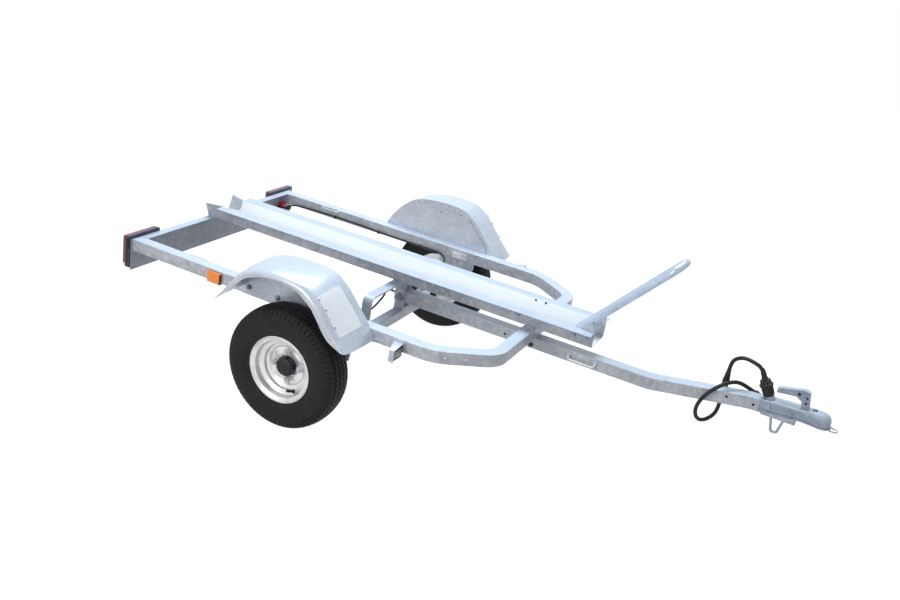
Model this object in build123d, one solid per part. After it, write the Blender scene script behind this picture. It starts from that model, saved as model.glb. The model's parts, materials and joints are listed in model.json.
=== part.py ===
"""Single-rail tilting motorcycle trailer, standing nose-down on the rod foot under its coupling.

Every piece is drawn in the trailer's own frame: X forward with 0 over the axle, Y to the left,
Z up with 0 at the top of the side rails. place() then leans the trailer onto its wheels and
foot, with the origin on the floor under the middle of its length.
"""

import os
from math import asin, atan2, cos, degrees, hypot, radians, sin, tan

from build123d import *

os.makedirs("parts", exist_ok=True)

# Perimeter frame: one bent square tube
TUBE = 45.0
TUBE_WALL = 2.5
TUBE_CORNER = 4.0
FRAME_WIDTH = 944.0
REAR_X = -760.0
FRONT_X = 651.0
BEND_X = 473.0
FRONT_TAPER = 129.0
BEND_RADIUS_REAR = 150.0
BEND_RADIUS_FRONT = 75.0

# Folded rear plate
PLATE_T = 3.0
PLATE_OVERHANG = 11.0
PLATE_HEIGHT = 116.0
PLATE_FLANGE = 30.0

# Folded wheel channel
CHANNEL_T = 2.5
CHANNEL_FRONT_X = 854.0
CHANNEL_OUTER = 124.0
CHANNEL_LIP = 43.0
CHANNEL_HEIGHT = 56.0
CHANNEL_BEND = 4.0
CHANNEL_FLARE = 21.0
FLARE_TOP_X = -690.0

# Axle, arms and wheels
AXLE_Z = -193.0
BEAM = 38.0
BEAM_WALL = 5.0
BEAM_X = 106.0
BEAM_TOP_Z = -120.0
BEAM_END_IN = 7.0
ARM_T = 20.0
ARM_PIVOT_R = 27.0
ARM_WHEEL_R = 24.0
STUB_R = 15.0
STUB_SHORT = 10.0
STUB_CLEARANCE = 0.05
WHEEL_OUT = 85.0

TYRE_R = 213.0
TYRE_WIDTH = 115.0
TYRE_BEAD_R = 101.0
RIM_FLANGE_R = 115.5
RIM_WIDTH = 92.0
RIM_WELL_R = 82.0
RIM_T = 3.0
DISC_OFFSET = -4.0
DISC_BORE_R = 31.0
STUD_CIRCLE = 100.0
STUD_COUNT = 4
STUD_R = 6.0
NUT_R = 11.0
NUT_H = 12.0
HUB_FLANGE_R = 66.0
HUB_FLANGE_T = 9.0
HUB_NOSE_R = 30.5
HUB_BODY_R = 38.0
CAP_R = 34.0
CAP_H = 24.0

# Support strap, pivot and drawbar
STRAP_HALF = 271.0
STRAP_T = 6.0
STRAP_WIDTH = 36.0
STRAP_BEND = 22.0
PIVOT_Z = -70.5
EAR_T = 6.0
EAR_GAP = 2.0
PIVOT_R = 8.0
PIVOT_CLEARANCE = 0.1
DRAWBAR_REAR_X = 80.0
DRAWBAR_BEND1_X = 1056.0
DRAWBAR_BEND2_X = 1384.0
DRAWBAR_RISE = 56.0
DRAWBAR_FRONT_X = 1530.0
DRAWBAR_BEND_R = 260.0
REST_GAP = 3.0

# Hoop that holds the front wheel
HOOP_R = 12.5
HOOP_HALF = 43.0
HOOP_ANGLE = 48.5
HOOP_BASE_X = 772.0
HOOP_LENGTH = 455.0
HOOP_PLATE_T = 4.0

# Fenders: side profile of the top sheet, with the radius of each bend
FENDER_T = 2.0
FENDER_COVER = 83.0
FENDER_ROLL = 26.0
FENDER_LIP = 42.0
FENDER_PROFILE = [(-322, -12), (-240, 80), (-125, 145), (70, 152), (112, 138), (232, 8), (265, -36)]
FENDER_BENDS = [90, 120, 70, 60, 50]
LIP_EDGE = [(-261, -6), (-193, 52), (-118, 106), (-42, 119), (34, 115), (72, 113), (112, 92),
            (154, 56), (196, 9), (236, -11), (272, -10)]
FENDER_REAR_SKEW = 43.0
FENDER_FRONT_SKEW = 16.0

# Lamps and markers
LAMP_LENGTH = 161.0
LAMP_HEIGHT = 108.0
LAMP_OVERHANG = 23.0
LAMP_TOP_Z = 14.0
LAMP_BASE_T = 12.0
LAMP_LENS_T = 13.0
LAMP_SKIRT = 12.0
LAMP_CORNER = 8.0
REFLECTOR_X = -385.0
REFLECTOR_Z = -26.5
REFLECTOR_LENGTH = 58.0
REFLECTOR_HEIGHT = 41.0
REFLECTOR_T = 9.0
MARKER_X = 365.0
MARKER_WIDTH = 52.0
MARKER_HEIGHT = 32.0
MARKER_T = 13.0
BRACKET_T = 3.0
BRACKET_DEPTH = 42.0
BRACKET_REACH = 59.0
BRACKET_DROP = 9.0
BRACKET_LEG = 44.0

# Tie loops and bolt holes
LOOP_ROD_R = 3.5
LOOP_STAND = 12.0
DRAWBAR_LOOP = (774.0, 871.0)
RAIL_LOOP = (-545.0, -465.0)
DRAWBAR_HOLES = [(532, -74), (1309, -22), (1394, -18)]
DRAWBAR_HOLE_R = 4.5

# Coupling and parking foot
BALL_X = 1600.0
BALL_Z = -3.0
BALL_R = 25.0
BALL_CLEARANCE = 0.4
SHELL_T = 4.0
COUPLING_REAR_X = 1410.0
COUPLING_NECK_X = 1543.0
COUPLING_REAR_Z = (-24.0, 12.0)
COUPLING_NECK_Z = (-12.0, 20.0)
COUPLING_FLARE = 6.0
SOCKET_DEPTH = 12.0
HANDLE_WIDTH = 20.0
HANDLE_OUTLINE = [(1558, 10), (1546, 75), (1526, 79), (1449, 60), (1448, 44), (1508, 51),
                  (1526, 40), (1533, 10)]
FOOT_ROD = 9.0
FOOT_X = 1474.0
FOOT_BOTTOM_Z = -98.5
FOOT_HALF = 21.0
FOOT_LOW_HALF = 9.0
FOOT_BEND = 8.0
FOOT_PLATE_T = 4.0
FOOT_PLATE_REAR = 1421.0
RING_ROD_R = 2.6
RING_REACH = 17.0

# Plug and lead
PLUG_R = 18.0
PLUG_LEAN = 29.0
PLUG_FOOT = (1443.0, -2.0)
HOLDER_R = 16.0
HOLDER_END = 26.0
PLUG_END = 80.0
PLUG_NECK_R = 11.0
PLUG_NECK_END = 98.0
CONNECTOR_R = 11.0
CONNECTOR_BACK = 122.0
CONNECTOR_Z = (-80.0, 46.0)
CONNECTOR_BARREL_Z = (-60.0, 12.0)
GLAND_R = 9.0
GLAND_LENGTH = 22.0
GLAND_BACK = 25.0
GLAND_LEAN = 70.0
LEAD_R = 6.0
RAIL_LEAD_R = 3.5

# Worked out from the sizes above
RAIL_Y = (FRAME_WIDTH - TUBE) / 2
RAIL_IN = FRAME_WIDTH / 2 - TUBE
RAIL_OUT = FRAME_WIDTH / 2
FRONT_WIDTH = FRAME_WIDTH - 2 * FRONT_TAPER
WHEEL_Y = RAIL_OUT + WHEEL_OUT
BEAM_HALF = RAIL_OUT - BEAM_END_IN
FENDER_OUTER_Y = WHEEL_Y + FENDER_COVER
LAMP_OUTER_Y = RAIL_OUT + LAMP_OVERHANG
BEAM_Z = BEAM_TOP_Z - BEAM / 2
DRAWBAR_Z = -TUBE - REST_GAP - TUBE / 2
DRAWBAR_TOP_Z = DRAWBAR_Z + DRAWBAR_RISE + TUBE / 2
DRAWBAR_LOW_Z = DRAWBAR_TOP_Z - TUBE

# The front bend of the foot's rod is what rests on the floor
FOOT_LOW_Z = FOOT_BOTTOM_Z + FOOT_ROD / 2
FOOT_TOP_Z = DRAWBAR_LOW_Z - FOOT_PLATE_T
FOOT_SLOPE = atan2(FOOT_TOP_Z - FOOT_LOW_Z, FOOT_HALF - FOOT_LOW_HALF)
FOOT_CENTRE_X = FOOT_X + FOOT_LOW_HALF - FOOT_BEND * tan(FOOT_SLOPE / 2)
FOOT_CENTRE_Z = FOOT_LOW_Z + FOOT_BEND
FOOT_REACH = FOOT_BEND + FOOT_ROD / 2
TO_FOOT = hypot(FOOT_CENTRE_X, FOOT_CENTRE_Z - AXLE_Z)
PITCH = degrees(
    atan2(FOOT_CENTRE_Z - AXLE_Z, FOOT_CENTRE_X) + asin((TYRE_R - FOOT_REACH) / TO_FOOT)
)

# The origin lies under the middle of the leaning trailer's length
LENS_END = (REAR_X - LAMP_BASE_T - LAMP_LENS_T, LAMP_TOP_Z - LAMP_HEIGHT)
NOSE_TIP_X = BALL_X + BALL_R + SHELL_T + COUPLING_FLARE + RING_REACH
NOSE_END = (NOSE_TIP_X + RING_ROD_R, BALL_Z - SOCKET_DEPTH - SHELL_T - RING_ROD_R)
MIDDLE_X = sum(
    x * cos(radians(PITCH)) + (z - AXLE_Z) * sin(radians(PITCH)) for x, z in (LENS_END, NOSE_END)
) / 2
PLACEMENT = Pos(-MIDDLE_X, 0, TYRE_R) * Rot(0, PITCH, 0) * Pos(0, 0, -AXLE_Z)

SIDES = {"right": -1, "left": 1}
built = {}


def place(name, shape):
    """Leans one piece with the trailer and writes it as its own node."""
    moved = PLACEMENT * shape
    if isinstance(moved, (list, ShapeList)):
        moved = Part() + moved
    built[name] = moved
    export_step(moved, f"parts/{name}.step")


def world(x, y, z):
    """The place of a trailer point once the trailer leans."""
    return tuple((PLACEMENT * Pos(x, y, z)).position)


def block(x0, x1, y0, y1, z0, z1):
    centre = Pos((x0 + x1) / 2, (y0 + y1) / 2, (z0 + z1) / 2)
    return centre * Box(x1 - x0, y1 - y0, z1 - z0)


def rod_y(x, z, radius, y0, y1):
    """A round bar across the trailer."""
    return Pos(x, (y0 + y1) / 2, z) * Rot(90, 0, 0) * Cylinder(radius, abs(y1 - y0))


def side_prism(outline, y0, y1):
    """A shape drawn in X and Z and given its width along Y."""
    face = make_face(outline)
    return extrude(Plane.XZ.offset(-max(y0, y1)) * face, abs(y1 - y0))


def square_tube(path, size, wall, corner):
    start = Plane(origin=path @ 0, z_dir=path % 0)
    outer = sweep(start * RectangleRounded(size, size, corner), path=path)
    inner = size - 2 * wall
    bore = sweep(start * Rectangle(inner, inner), path=path)
    return outer - bore


def round_bar(path, radius):
    start = Plane(origin=path @ 0, z_dir=path % 0)
    return sweep(start * Circle(radius), path=path)


# Frame

def perimeter_frame():
    slope = atan2((FRAME_WIDTH - FRONT_WIDTH) / 2, FRONT_X - BEND_X)
    inset = TUBE / 2
    bend_x = BEND_X - inset * tan(slope / 2)
    cross_x = FRONT_X - inset
    front_y = RAIL_Y - (cross_x - bend_x) * tan(slope)
    z = -inset
    rear = REAR_X + PLATE_T
    path = FilletPolyline(
        (rear, -RAIL_Y, z), (bend_x, -RAIL_Y, z), (cross_x, -front_y, z),
        (cross_x, front_y, z), (bend_x, RAIL_Y, z), (rear, RAIL_Y, z),
        radius=[BEND_RADIUS_REAR, BEND_RADIUS_FRONT, BEND_RADIUS_FRONT, BEND_RADIUS_REAR],
    )
    tube = square_tube(path, TUBE, TUBE_WALL, TUBE_CORNER)
    for side in SIDES.values():
        loop = tie_loop(RAIL_LOOP, RAIL_IN, -LOOP_STAND, -8.0, -8.0)
        tube += for_side(loop, side)
    return tube


def tie_loop(ends, face_y, stand, face_z, bar_z):
    """Bent rod welded on a tube's face, for a strap's hook."""
    x0, x1 = ends
    y1 = face_y + stand
    line = FilletPolyline(
        (x0, face_y - stand / 12, face_z), (x0, y1, bar_z), (x1, y1, bar_z),
        (x1, face_y - stand / 12, face_z), radius=8,
    )
    return round_bar(line, LOOP_ROD_R)


def rear_plate():
    half = RAIL_OUT + PLATE_OVERHANG
    web = block(REAR_X, REAR_X + PLATE_T, -half, half, -PLATE_HEIGHT, 0)
    flange = block(REAR_X, REAR_X + PLATE_FLANGE, -RAIL_IN, RAIL_IN, -PLATE_T, 0)
    return web + flange


def wheel_channel():
    t = CHANNEL_T
    wall = CHANNEL_OUTER / 2 - t / 2
    tip = CHANNEL_OUTER / 2 + CHANNEL_LIP
    low, high = t / 2, CHANNEL_HEIGHT - t / 2
    line = FilletPolyline(
        (-tip, high), (-wall, high), (-wall, low), (wall, low), (wall, high), (tip, high),
        radius=CHANNEL_BEND,
    )
    section = Plane.YZ.offset(FLARE_TOP_X) * trace(line, t)
    channel = extrude(section, CHANNEL_FRONT_X - FLARE_TOP_X)
    floor_half = CHANNEL_OUTER / 2
    channel += block(REAR_X, FLARE_TOP_X, -floor_half, floor_half, 0, t)
    for side in SIDES.values():
        channel += for_side(flared_wall(), side)
    return channel


def flared_wall():
    """The channel's wall without its lip, spread open towards the rear for the wheel to enter."""
    y, t = CHANNEL_OUTER / 2, CHANNEL_T
    sections = []
    for x, lean in ((FLARE_TOP_X, 0), (REAR_X, CHANNEL_FLARE)):
        outline = Polyline(
            (x, y - t, 0), (x, y, 0), (x, y + lean, CHANNEL_HEIGHT),
            (x, y + lean - t, CHANNEL_HEIGHT), close=True,
        )
        sections.append(make_face(outline))
    return loft(sections, ruled=True)


def support_strap():
    t = STRAP_T
    foot, top = BEAM_TOP_Z, -t / 2
    half = STRAP_HALF - t / 2
    line = FilletPolyline(
        (-half, foot), (-half, top), (half, top), (half, foot), radius=STRAP_BEND
    )
    section = Plane.YZ.offset(BEAM_X - STRAP_WIDTH / 2) * trace(line, t)
    return extrude(section, STRAP_WIDTH)


def pivot_bracket():
    """Two ears on one base, welded on the beam and up to the strap."""
    inner = TUBE / 2 + EAR_GAP
    outer = inner + EAR_T
    x0, x1 = BEAM_X - STRAP_WIDTH / 2, BEAM_X + STRAP_WIDTH / 2
    body = block(x0, x1, -outer, outer, BEAM_TOP_Z, -STRAP_T)
    slot = block(x0 - 1, x1 + 1, -inner, inner, BEAM_TOP_Z + EAR_T, -STRAP_T + 1)
    return body - slot - rod_y(BEAM_X, PIVOT_Z, PIVOT_R, -outer - 1, outer + 1)


def pivot_bolt():
    ear = TUBE / 2 + EAR_GAP + EAR_T
    shank = rod_y(BEAM_X, PIVOT_Z, PIVOT_R, -ear - 8, ear + 14)
    head = RegularPolygon(13, 6)
    for y in (-ear - 8, ear):
        shank += Pos(BEAM_X, y + 8, PIVOT_Z) * Rot(90, 0, 0) * extrude(head, 8)
    return shank


def axle_beam():
    path = Line((BEAM_X, -BEAM_HALF, BEAM_Z), (BEAM_X, BEAM_HALF, BEAM_Z))
    return square_tube(path, BEAM, BEAM_WALL, 4.0)


def axle_bracket(side):
    """Saddle plate between a rail and the beam, notched over the beam."""
    top, low = -TUBE, BEAM_Z
    outline = Polyline(
        (BEAM_X - 77, top), (BEAM_X + 76, top), (BEAM_X + 76, top - 26),
        (BEAM_X + 38, low), (BEAM_X - 38, low), (BEAM_X - 77, top - 26), close=True,
    )
    y0 = RAIL_IN + 3
    plate = side_prism(outline, y0, y0 + 6)
    half = BEAM / 2
    plate -= block(BEAM_X - half, BEAM_X + half, y0 - 1, y0 + 7, low - 1, BEAM_TOP_Z)
    for x in (-3, 27):
        plate -= rod_y(BEAM_X + x, -58, 5, y0 - 1, y0 + 7)
    return plate if side > 0 else mirror(plate, Plane.XZ)


def swing_arm(side):
    """Trailing arm of the rubber axle with the stub that carries the hub."""
    y0 = BEAM_HALF
    y1 = y0 + ARM_T
    dx, dz = -BEAM_X, AXLE_Z - BEAM_Z
    length = hypot(dx, dz)
    angle = degrees(atan2(dz, dx))
    eye = rod_y(BEAM_X, BEAM_Z, ARM_PIVOT_R, y0, y1)
    web = Pos(BEAM_X + dx / 2, (y0 + y1) / 2, BEAM_Z + dz / 2) * Rot(0, -angle, 0)
    arm = eye + web * Box(length, ARM_T, 2 * ARM_WHEEL_R)
    arm += rod_y(0, AXLE_Z, ARM_WHEEL_R, y0, y1)
    arm += rod_y(0, AXLE_Z, STUB_R, y1, WHEEL_Y - STUB_SHORT)
    return arm if side > 0 else mirror(arm, Plane.XZ)


# Wheels

def revolve_wheel(outline):
    """Turns a half section given as (distance outward from the mid-plane, radius)."""
    face = make_face(outline)
    turned = revolve(face, Axis.X)
    return Pos(0, WHEEL_Y, AXLE_Z) * Rot(0, 0, 90) * turned


def for_side(shape, side):
    return shape if side > 0 else mirror(shape, Plane.XZ)


def tyre():
    half, bead = TYRE_WIDTH / 2, TYRE_BEAD_R
    seat = RIM_WIDTH / 2 - 4
    wall = 9.0
    outside = [
        (seat, bead), (seat + 2, bead + 17), (half, 158), (half - 4, 186),
        (half - 14, 203), (0, TYRE_R),
    ]
    mirrored = [(-x, r) for x, r in reversed(outside[:-1])]
    inside = [
        (-seat + wall, bead), (-half + wall + 3, 150), (-half + 2 * wall, 190),
        (half - 2 * wall, 190), (half - wall - 3, 150), (seat - wall, bead),
    ]
    return revolve_wheel(Polyline(*outside, *mirrored, *inside, close=True))


def rim():
    """Rolled rim with a dropped well, and the pressed disc inside it."""
    half, t = RIM_WIDTH / 2, RIM_T
    bead = TYRE_BEAD_R
    ring = [
        (half, RIM_FLANGE_R), (half - 3, bead), (half - 22, bead), (half - 28, RIM_WELL_R),
        (-half + 28, RIM_WELL_R), (-half + 22, bead), (-half + 3, bead), (-half, RIM_FLANGE_R),
    ]
    under = [
        (-half - t, RIM_FLANGE_R), (-half, bead - t), (-half + 20, bead - t),
        (-half + 26, RIM_WELL_R - t), (half - 26, RIM_WELL_R - t),
        (half - 20, bead - t), (half, bead - t), (half + t, RIM_FLANGE_R),
    ]
    barrel = revolve_wheel(Polyline(*ring, *under, close=True))
    face = DISC_OFFSET
    disc = [
        (face - t, DISC_BORE_R), (face, DISC_BORE_R), (face, 62), (face + 9, 70),
        (face + 9, RIM_WELL_R - t), (face + 9 - t, RIM_WELL_R - t),
        (face + 9 - t, 71), (face - t, 63),
    ]
    body = barrel + revolve_wheel(Polyline(*disc, close=True))
    for x, z in stud_places():
        body -= rod_y(x, z, STUD_R + 0.4, WHEEL_Y - 20, WHEEL_Y + 20)
    return body


def stud_places():
    places = []
    for index in range(STUD_COUNT):
        angle = radians(360 * index / STUD_COUNT + 4)
        places.append((STUD_CIRCLE / 2 * cos(angle), AXLE_Z + STUD_CIRCLE / 2 * sin(angle)))
    return places


def hub():
    """Hub with its studs and nuts, which clamp the disc."""
    back = WHEEL_Y + DISC_OFFSET - RIM_T
    body = rod_y(0, AXLE_Z, HUB_FLANGE_R, back - HUB_FLANGE_T, back)
    body += rod_y(0, AXLE_Z, HUB_BODY_R, WHEEL_Y - 52, back)
    body += rod_y(0, AXLE_Z, HUB_NOSE_R, back, back + 9)
    body -= rod_y(0, AXLE_Z, STUB_R + STUB_CLEARANCE, WHEEL_Y - 60, WHEEL_Y - STUB_SHORT + 1)
    face = WHEEL_Y + DISC_OFFSET
    for x, z in stud_places():
        body += rod_y(x, z, STUD_R, back, face + NUT_H)
        nut = extrude(RegularPolygon(NUT_R, 6), NUT_H)
        body += Pos(x, face + NUT_H, z) * Rot(90, 0, 0) * nut
    return body


def hub_cap():
    back = WHEEL_Y + DISC_OFFSET - RIM_T + 9
    cap = rod_y(0, AXLE_Z, CAP_R, back, back + CAP_H)
    outer = cap.edges().group_by(Axis.Y)[-1]
    return fillet(outer, 7)


# Drawbar

def drawbar_path():
    z = DRAWBAR_Z
    return FilletPolyline(
        (DRAWBAR_REAR_X, 0, z), (DRAWBAR_BEND1_X, 0, z),
        (DRAWBAR_BEND2_X, 0, z + DRAWBAR_RISE), (DRAWBAR_FRONT_X, 0, z + DRAWBAR_RISE),
        radius=DRAWBAR_BEND_R,
    )


def drawbar_block():
    """The drawbar's tube filled in, for cutting what stands on it."""
    path = drawbar_path()
    start = Plane(origin=path @ 0, z_dir=path % 0)
    return sweep(start * RectangleRounded(TUBE, TUBE, TUBE_CORNER), path=path)


def drawbar():
    tube = square_tube(drawbar_path(), TUBE, TUBE_WALL, TUBE_CORNER)
    half = TUBE / 2
    tube += rod_y(BEAM_X, PIVOT_Z, PIVOT_R + 5, -half, half)
    tube += tie_loop(DRAWBAR_LOOP, -half, -LOOP_STAND, DRAWBAR_Z + 12, DRAWBAR_Z - 7)
    for x, z in DRAWBAR_HOLES:
        tube -= rod_y(x, z, DRAWBAR_HOLE_R, -half - 1, half + 1)
    return tube - rod_y(BEAM_X, PIVOT_Z, PIVOT_R + PIVOT_CLEARANCE, -half - 1, half + 1)


def coupling_section(x, z_range, half, corner):
    """Cross-section of the coupling's shell with its top corners rounded."""
    low, high = z_range
    line = FilletPolyline((x, -half, low), (x, -half, high), (x, half, high), (x, half, low),
                          radius=corner)
    return make_face(line + Line((x, half, low), (x, -half, low)))


def coupling_body():
    """The shell filled in: two tapering boxes that run into the ball's round housing."""
    outer = TUBE / 2 + 0.5 + SHELL_T
    ball_outer = BALL_R + BALL_CLEARANCE + SHELL_T
    nose_z = (BALL_Z - SOCKET_DEPTH, BALL_Z + ball_outer)
    sections = [
        coupling_section(COUPLING_REAR_X, COUPLING_REAR_Z, outer, 5),
        coupling_section(COUPLING_NECK_X, COUPLING_NECK_Z, outer, 9),
        coupling_section(BALL_X, nose_z, ball_outer, ball_outer - 2),
    ]
    body = loft(sections[:2], ruled=True) + loft(sections[1:], ruled=True)
    body += Pos(BALL_X, 0, BALL_Z) * Sphere(ball_outer)
    body -= block(BALL_X - 40, BALL_X + 40, -40, 40, BALL_Z - 60, nose_z[0])
    return body + Pos(BALL_X, 0, BALL_Z - SOCKET_DEPTH / 2) * Cylinder(ball_outer, SOCKET_DEPTH)


def coupling():
    """Pressed shell over the tube's end, with the ball's housing at its nose."""
    inner = TUBE / 2 + 0.5
    outer = inner + SHELL_T
    low_rear, low_neck = COUPLING_REAR_Z[0], COUPLING_NECK_Z[0]
    low_nose = BALL_Z - SOCKET_DEPTH
    rim_outline = Polyline(
        (COUPLING_REAR_X, low_rear), (COUPLING_NECK_X, low_neck), (BALL_X, low_nose),
        (BALL_X, low_nose - SHELL_T), (COUPLING_NECK_X, low_neck - SHELL_T),
        (COUPLING_REAR_X, low_rear - SHELL_T), close=True,
    )
    flare = outer + COUPLING_FLARE
    rim_r = BALL_R + BALL_CLEARANCE + SHELL_T + COUPLING_FLARE - 2
    body = coupling_body() + side_prism(rim_outline, -flare, flare)
    body += Pos(BALL_X, 0, low_nose - SHELL_T / 2) * Cylinder(rim_r, SHELL_T)
    body -= block(COUPLING_REAR_X - 1, DRAWBAR_FRONT_X + 0.3, -inner, inner, -60,
                  DRAWBAR_TOP_Z + 0.3)
    body -= block(DRAWBAR_FRONT_X, BALL_X - 36, -inner + 6, inner - 6, -60, DRAWBAR_TOP_Z)
    body -= Pos(BALL_X, 0, BALL_Z) * Sphere(BALL_R + BALL_CLEARANCE)
    body -= Pos(BALL_X, 0, BALL_Z - 30) * Cylinder(BALL_R + BALL_CLEARANCE, 60)
    return body - block(BALL_X - 34, BALL_X - 20, -8, 8, BALL_Z + 20, BALL_Z + 60)


def coupling_handle():
    """Flat pressed lever with a rounded elbow, standing on the shell's roof."""
    lever = side_prism(Polyline(*HANDLE_OUTLINE, close=True), -HANDLE_WIDTH / 2, HANDLE_WIDTH / 2)
    elbows = lever.edges().filter_by(Axis.Y).sort_by(Axis.Z)[-2:]
    return fillet(elbows, 6) - coupling_body()


def parking_foot():
    """Bent rod welded to a plate under the drawbar."""
    line = FilletPolyline(
        (FOOT_X - FOOT_HALF, 0, FOOT_TOP_Z), (FOOT_X - FOOT_LOW_HALF, 0, FOOT_LOW_Z),
        (FOOT_X + FOOT_LOW_HALF, 0, FOOT_LOW_Z), (FOOT_X + FOOT_HALF, 0, FOOT_TOP_Z),
        radius=FOOT_BEND,
    )
    plate = block(FOOT_PLATE_REAR, DRAWBAR_FRONT_X, -20, 20, FOOT_TOP_Z, DRAWBAR_LOW_Z)
    return round_bar(line, FOOT_ROD / 2) + plate


def nose_ring():
    """Bent rod under the coupling's rim, for the safety chain."""
    rim_low = BALL_Z - SOCKET_DEPTH - SHELL_T
    z = rim_low - RING_ROD_R
    rear, tip = BALL_X + BALL_R + SHELL_T, NOSE_TIP_X
    line = FilletPolyline((rear, -13, z), (tip, -10, z), (tip, 10, z), (rear, 13, z), radius=8)
    return round_bar(line, RING_ROD_R)


# Hoop

def hoop():
    a = radians(HOOP_ANGLE)
    x0, z0 = HOOP_BASE_X, CHANNEL_T + HOOP_R + 3
    x1, z1 = x0 + HOOP_LENGTH * cos(a), z0 + HOOP_LENGTH * sin(a)
    line = FilletPolyline(
        (x0, -HOOP_HALF, z0), (x1, -HOOP_HALF, z1), (x1, HOOP_HALF, z1), (x0, HOOP_HALF, z0),
        radius=HOOP_HALF - 1,
    )
    return round_bar(line, HOOP_R)


def hoop_plate(side):
    rear, front = HOOP_BASE_X - 20, CHANNEL_FRONT_X - 2
    low = CHANNEL_T + 4
    outline = Polyline(
        (rear, low), (front, low), (front, 70), (front - 14, 88), (rear + 12, 20), close=True
    )
    y1 = CHANNEL_OUTER / 2 - CHANNEL_T
    return for_side(side_prism(outline, y1 - HOOP_PLATE_T, y1), side)


# Fenders

def fender(side):
    """Folded sheet with a rolled outer edge, and the flat panel that bolts to the rail."""
    t, roll, outer = FENDER_T, FENDER_ROLL, FENDER_OUTER_Y
    path = FilletPolyline(*[(x, 0, z) for x, z in FENDER_PROFILE], radius=FENDER_BENDS)
    start = Plane(origin=path @ 0, x_dir=(0, 1, 0), z_dir=path % 0)
    down = 1 if start.y_dir.Z < 0 else -1
    low = down * FENDER_LIP
    skin = FilletPolyline((RAIL_OUT, 0), (outer, 0), (outer, low), radius=roll)
    lining = FilletPolyline(
        (outer - t, low), (outer - t, down * t), (RAIL_OUT, down * t), radius=roll - t
    )
    ends = Line((outer, low), (outer - t, low)) + Line((RAIL_OUT, down * t), (RAIL_OUT, 0))
    sheet = sweep(start * make_face(skin + lining + ends), path=path)
    sheet -= lip_trim() + rear_trim() + front_trim()
    return for_side(sheet + inner_panel(), side)


def lip_trim():
    """What lies under the lip's lower edge, which follows the tyre."""
    edge = Spline(*LIP_EDGE)
    low = Polyline(LIP_EDGE[-1], (300, -10), (300, -120), (-340, -120), (-340, -6), LIP_EDGE[0])
    return side_prism(edge + low, FENDER_OUTER_Y - FENDER_T - 1, FENDER_OUTER_Y + 1)


def end_plane(end, neighbour):
    """Plane on the sheet at one end: x along the sheet inwards, y across the trailer."""
    (x, z), (nx, nz) = end, neighbour
    run = Vector(nx - x, 0, nz - z).normalized()
    return Plane(origin=(x, 0, z), x_dir=run, z_dir=run.cross(Vector(0, 1, 0)))


def rear_trim():
    """The rear end is cut askew, shorter at the wheel's outer side."""
    plane = end_plane(*FENDER_PROFILE[:2])
    outline = Polyline(
        (-30, RAIL_OUT - 1), (-30, FENDER_OUTER_Y + 5),
        (FENDER_REAR_SKEW, FENDER_OUTER_Y + 5), (0, RAIL_OUT - 1), close=True,
    )
    return extrude(plane * make_face(outline), 60, both=True)


def front_trim():
    plane = end_plane(FENDER_PROFILE[-1], FENDER_PROFILE[-2])
    skew = FENDER_FRONT_SKEW
    outer = FENDER_OUTER_Y
    outline = Polyline(
        (-30, RAIL_OUT - 1), (-30, outer + 5), (skew + 22, outer + 5), (skew + 14, outer - 6),
        (skew * 0.9, outer - 22), (0, RAIL_OUT - 1), close=True,
    )
    return extrude(plane * make_face(outline), 60, both=True)


def inner_panel():
    """Flat sheet from the rail up to the fender's top."""
    profile = FilletPolyline(*FENDER_PROFILE, radius=FENDER_BENDS)
    rear, front = FENDER_PROFILE[0], FENDER_PROFILE[-1]
    base = Polyline(front, (rear[0] + 18, -28), rear)
    return side_prism(profile + base, RAIL_OUT, RAIL_OUT + FENDER_T)


# Lamps, reflectors and markers

def lamp_block(x0, x1, z0):
    y0, y1 = LAMP_OUTER_Y - LAMP_LENGTH, LAMP_OUTER_Y
    body = block(x0, x1, y0, y1, z0, LAMP_TOP_Z)
    return fillet(body.edges().filter_by(Axis.X), LAMP_CORNER)


def lamp_base(side):
    low = LAMP_TOP_Z - LAMP_HEIGHT - LAMP_SKIRT
    return for_side(lamp_block(REAR_X - LAMP_BASE_T, REAR_X, low), side)


def lamp_lens(side):
    back = REAR_X - LAMP_BASE_T
    lens = lamp_block(back - LAMP_LENS_T, back, LAMP_TOP_Z - LAMP_HEIGHT)
    return for_side(fillet(lens.edges().group_by(Axis.X)[0], 4), side)


def side_reflector(side):
    half = REFLECTOR_LENGTH / 2
    body = block(REFLECTOR_X - half, REFLECTOR_X + half, RAIL_OUT, RAIL_OUT + REFLECTOR_T,
                 REFLECTOR_Z - REFLECTOR_HEIGHT / 2, REFLECTOR_Z + REFLECTOR_HEIGHT / 2)
    return for_side(fillet(body.edges().filter_by(Axis.Y), 3), side)


def marker_bracket(side):
    """Folded sheet over the forward marker: a sloping hood with an outer leg."""
    x0 = MARKER_X - BRACKET_DEPTH
    y1 = RAIL_OUT + BRACKET_REACH - BRACKET_T / 2
    top = -8.0
    low = top - BRACKET_DROP
    line = FilletPolyline(
        (RAIL_OUT, top), (y1, low), (y1, low - BRACKET_LEG + BRACKET_DROP), radius=5
    )
    hood = extrude(Plane.YZ.offset(x0) * trace(line, BRACKET_T), BRACKET_DEPTH - 2)
    return for_side(hood - block(x0 - 1, MARKER_X, 0, RAIL_OUT, -60, 10), side)


def front_marker(side):
    """Marker lamp under its hood, screwed to the hood's leg and facing forward."""
    y1 = RAIL_OUT + BRACKET_REACH - BRACKET_T
    z1 = -22.0
    body = block(MARKER_X - MARKER_T, MARKER_X, y1 - MARKER_WIDTH, y1, z1 - MARKER_HEIGHT, z1)
    return for_side(fillet(body.edges().group_by(Axis.X)[-1], 2), side)


# Leads and plug

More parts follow.
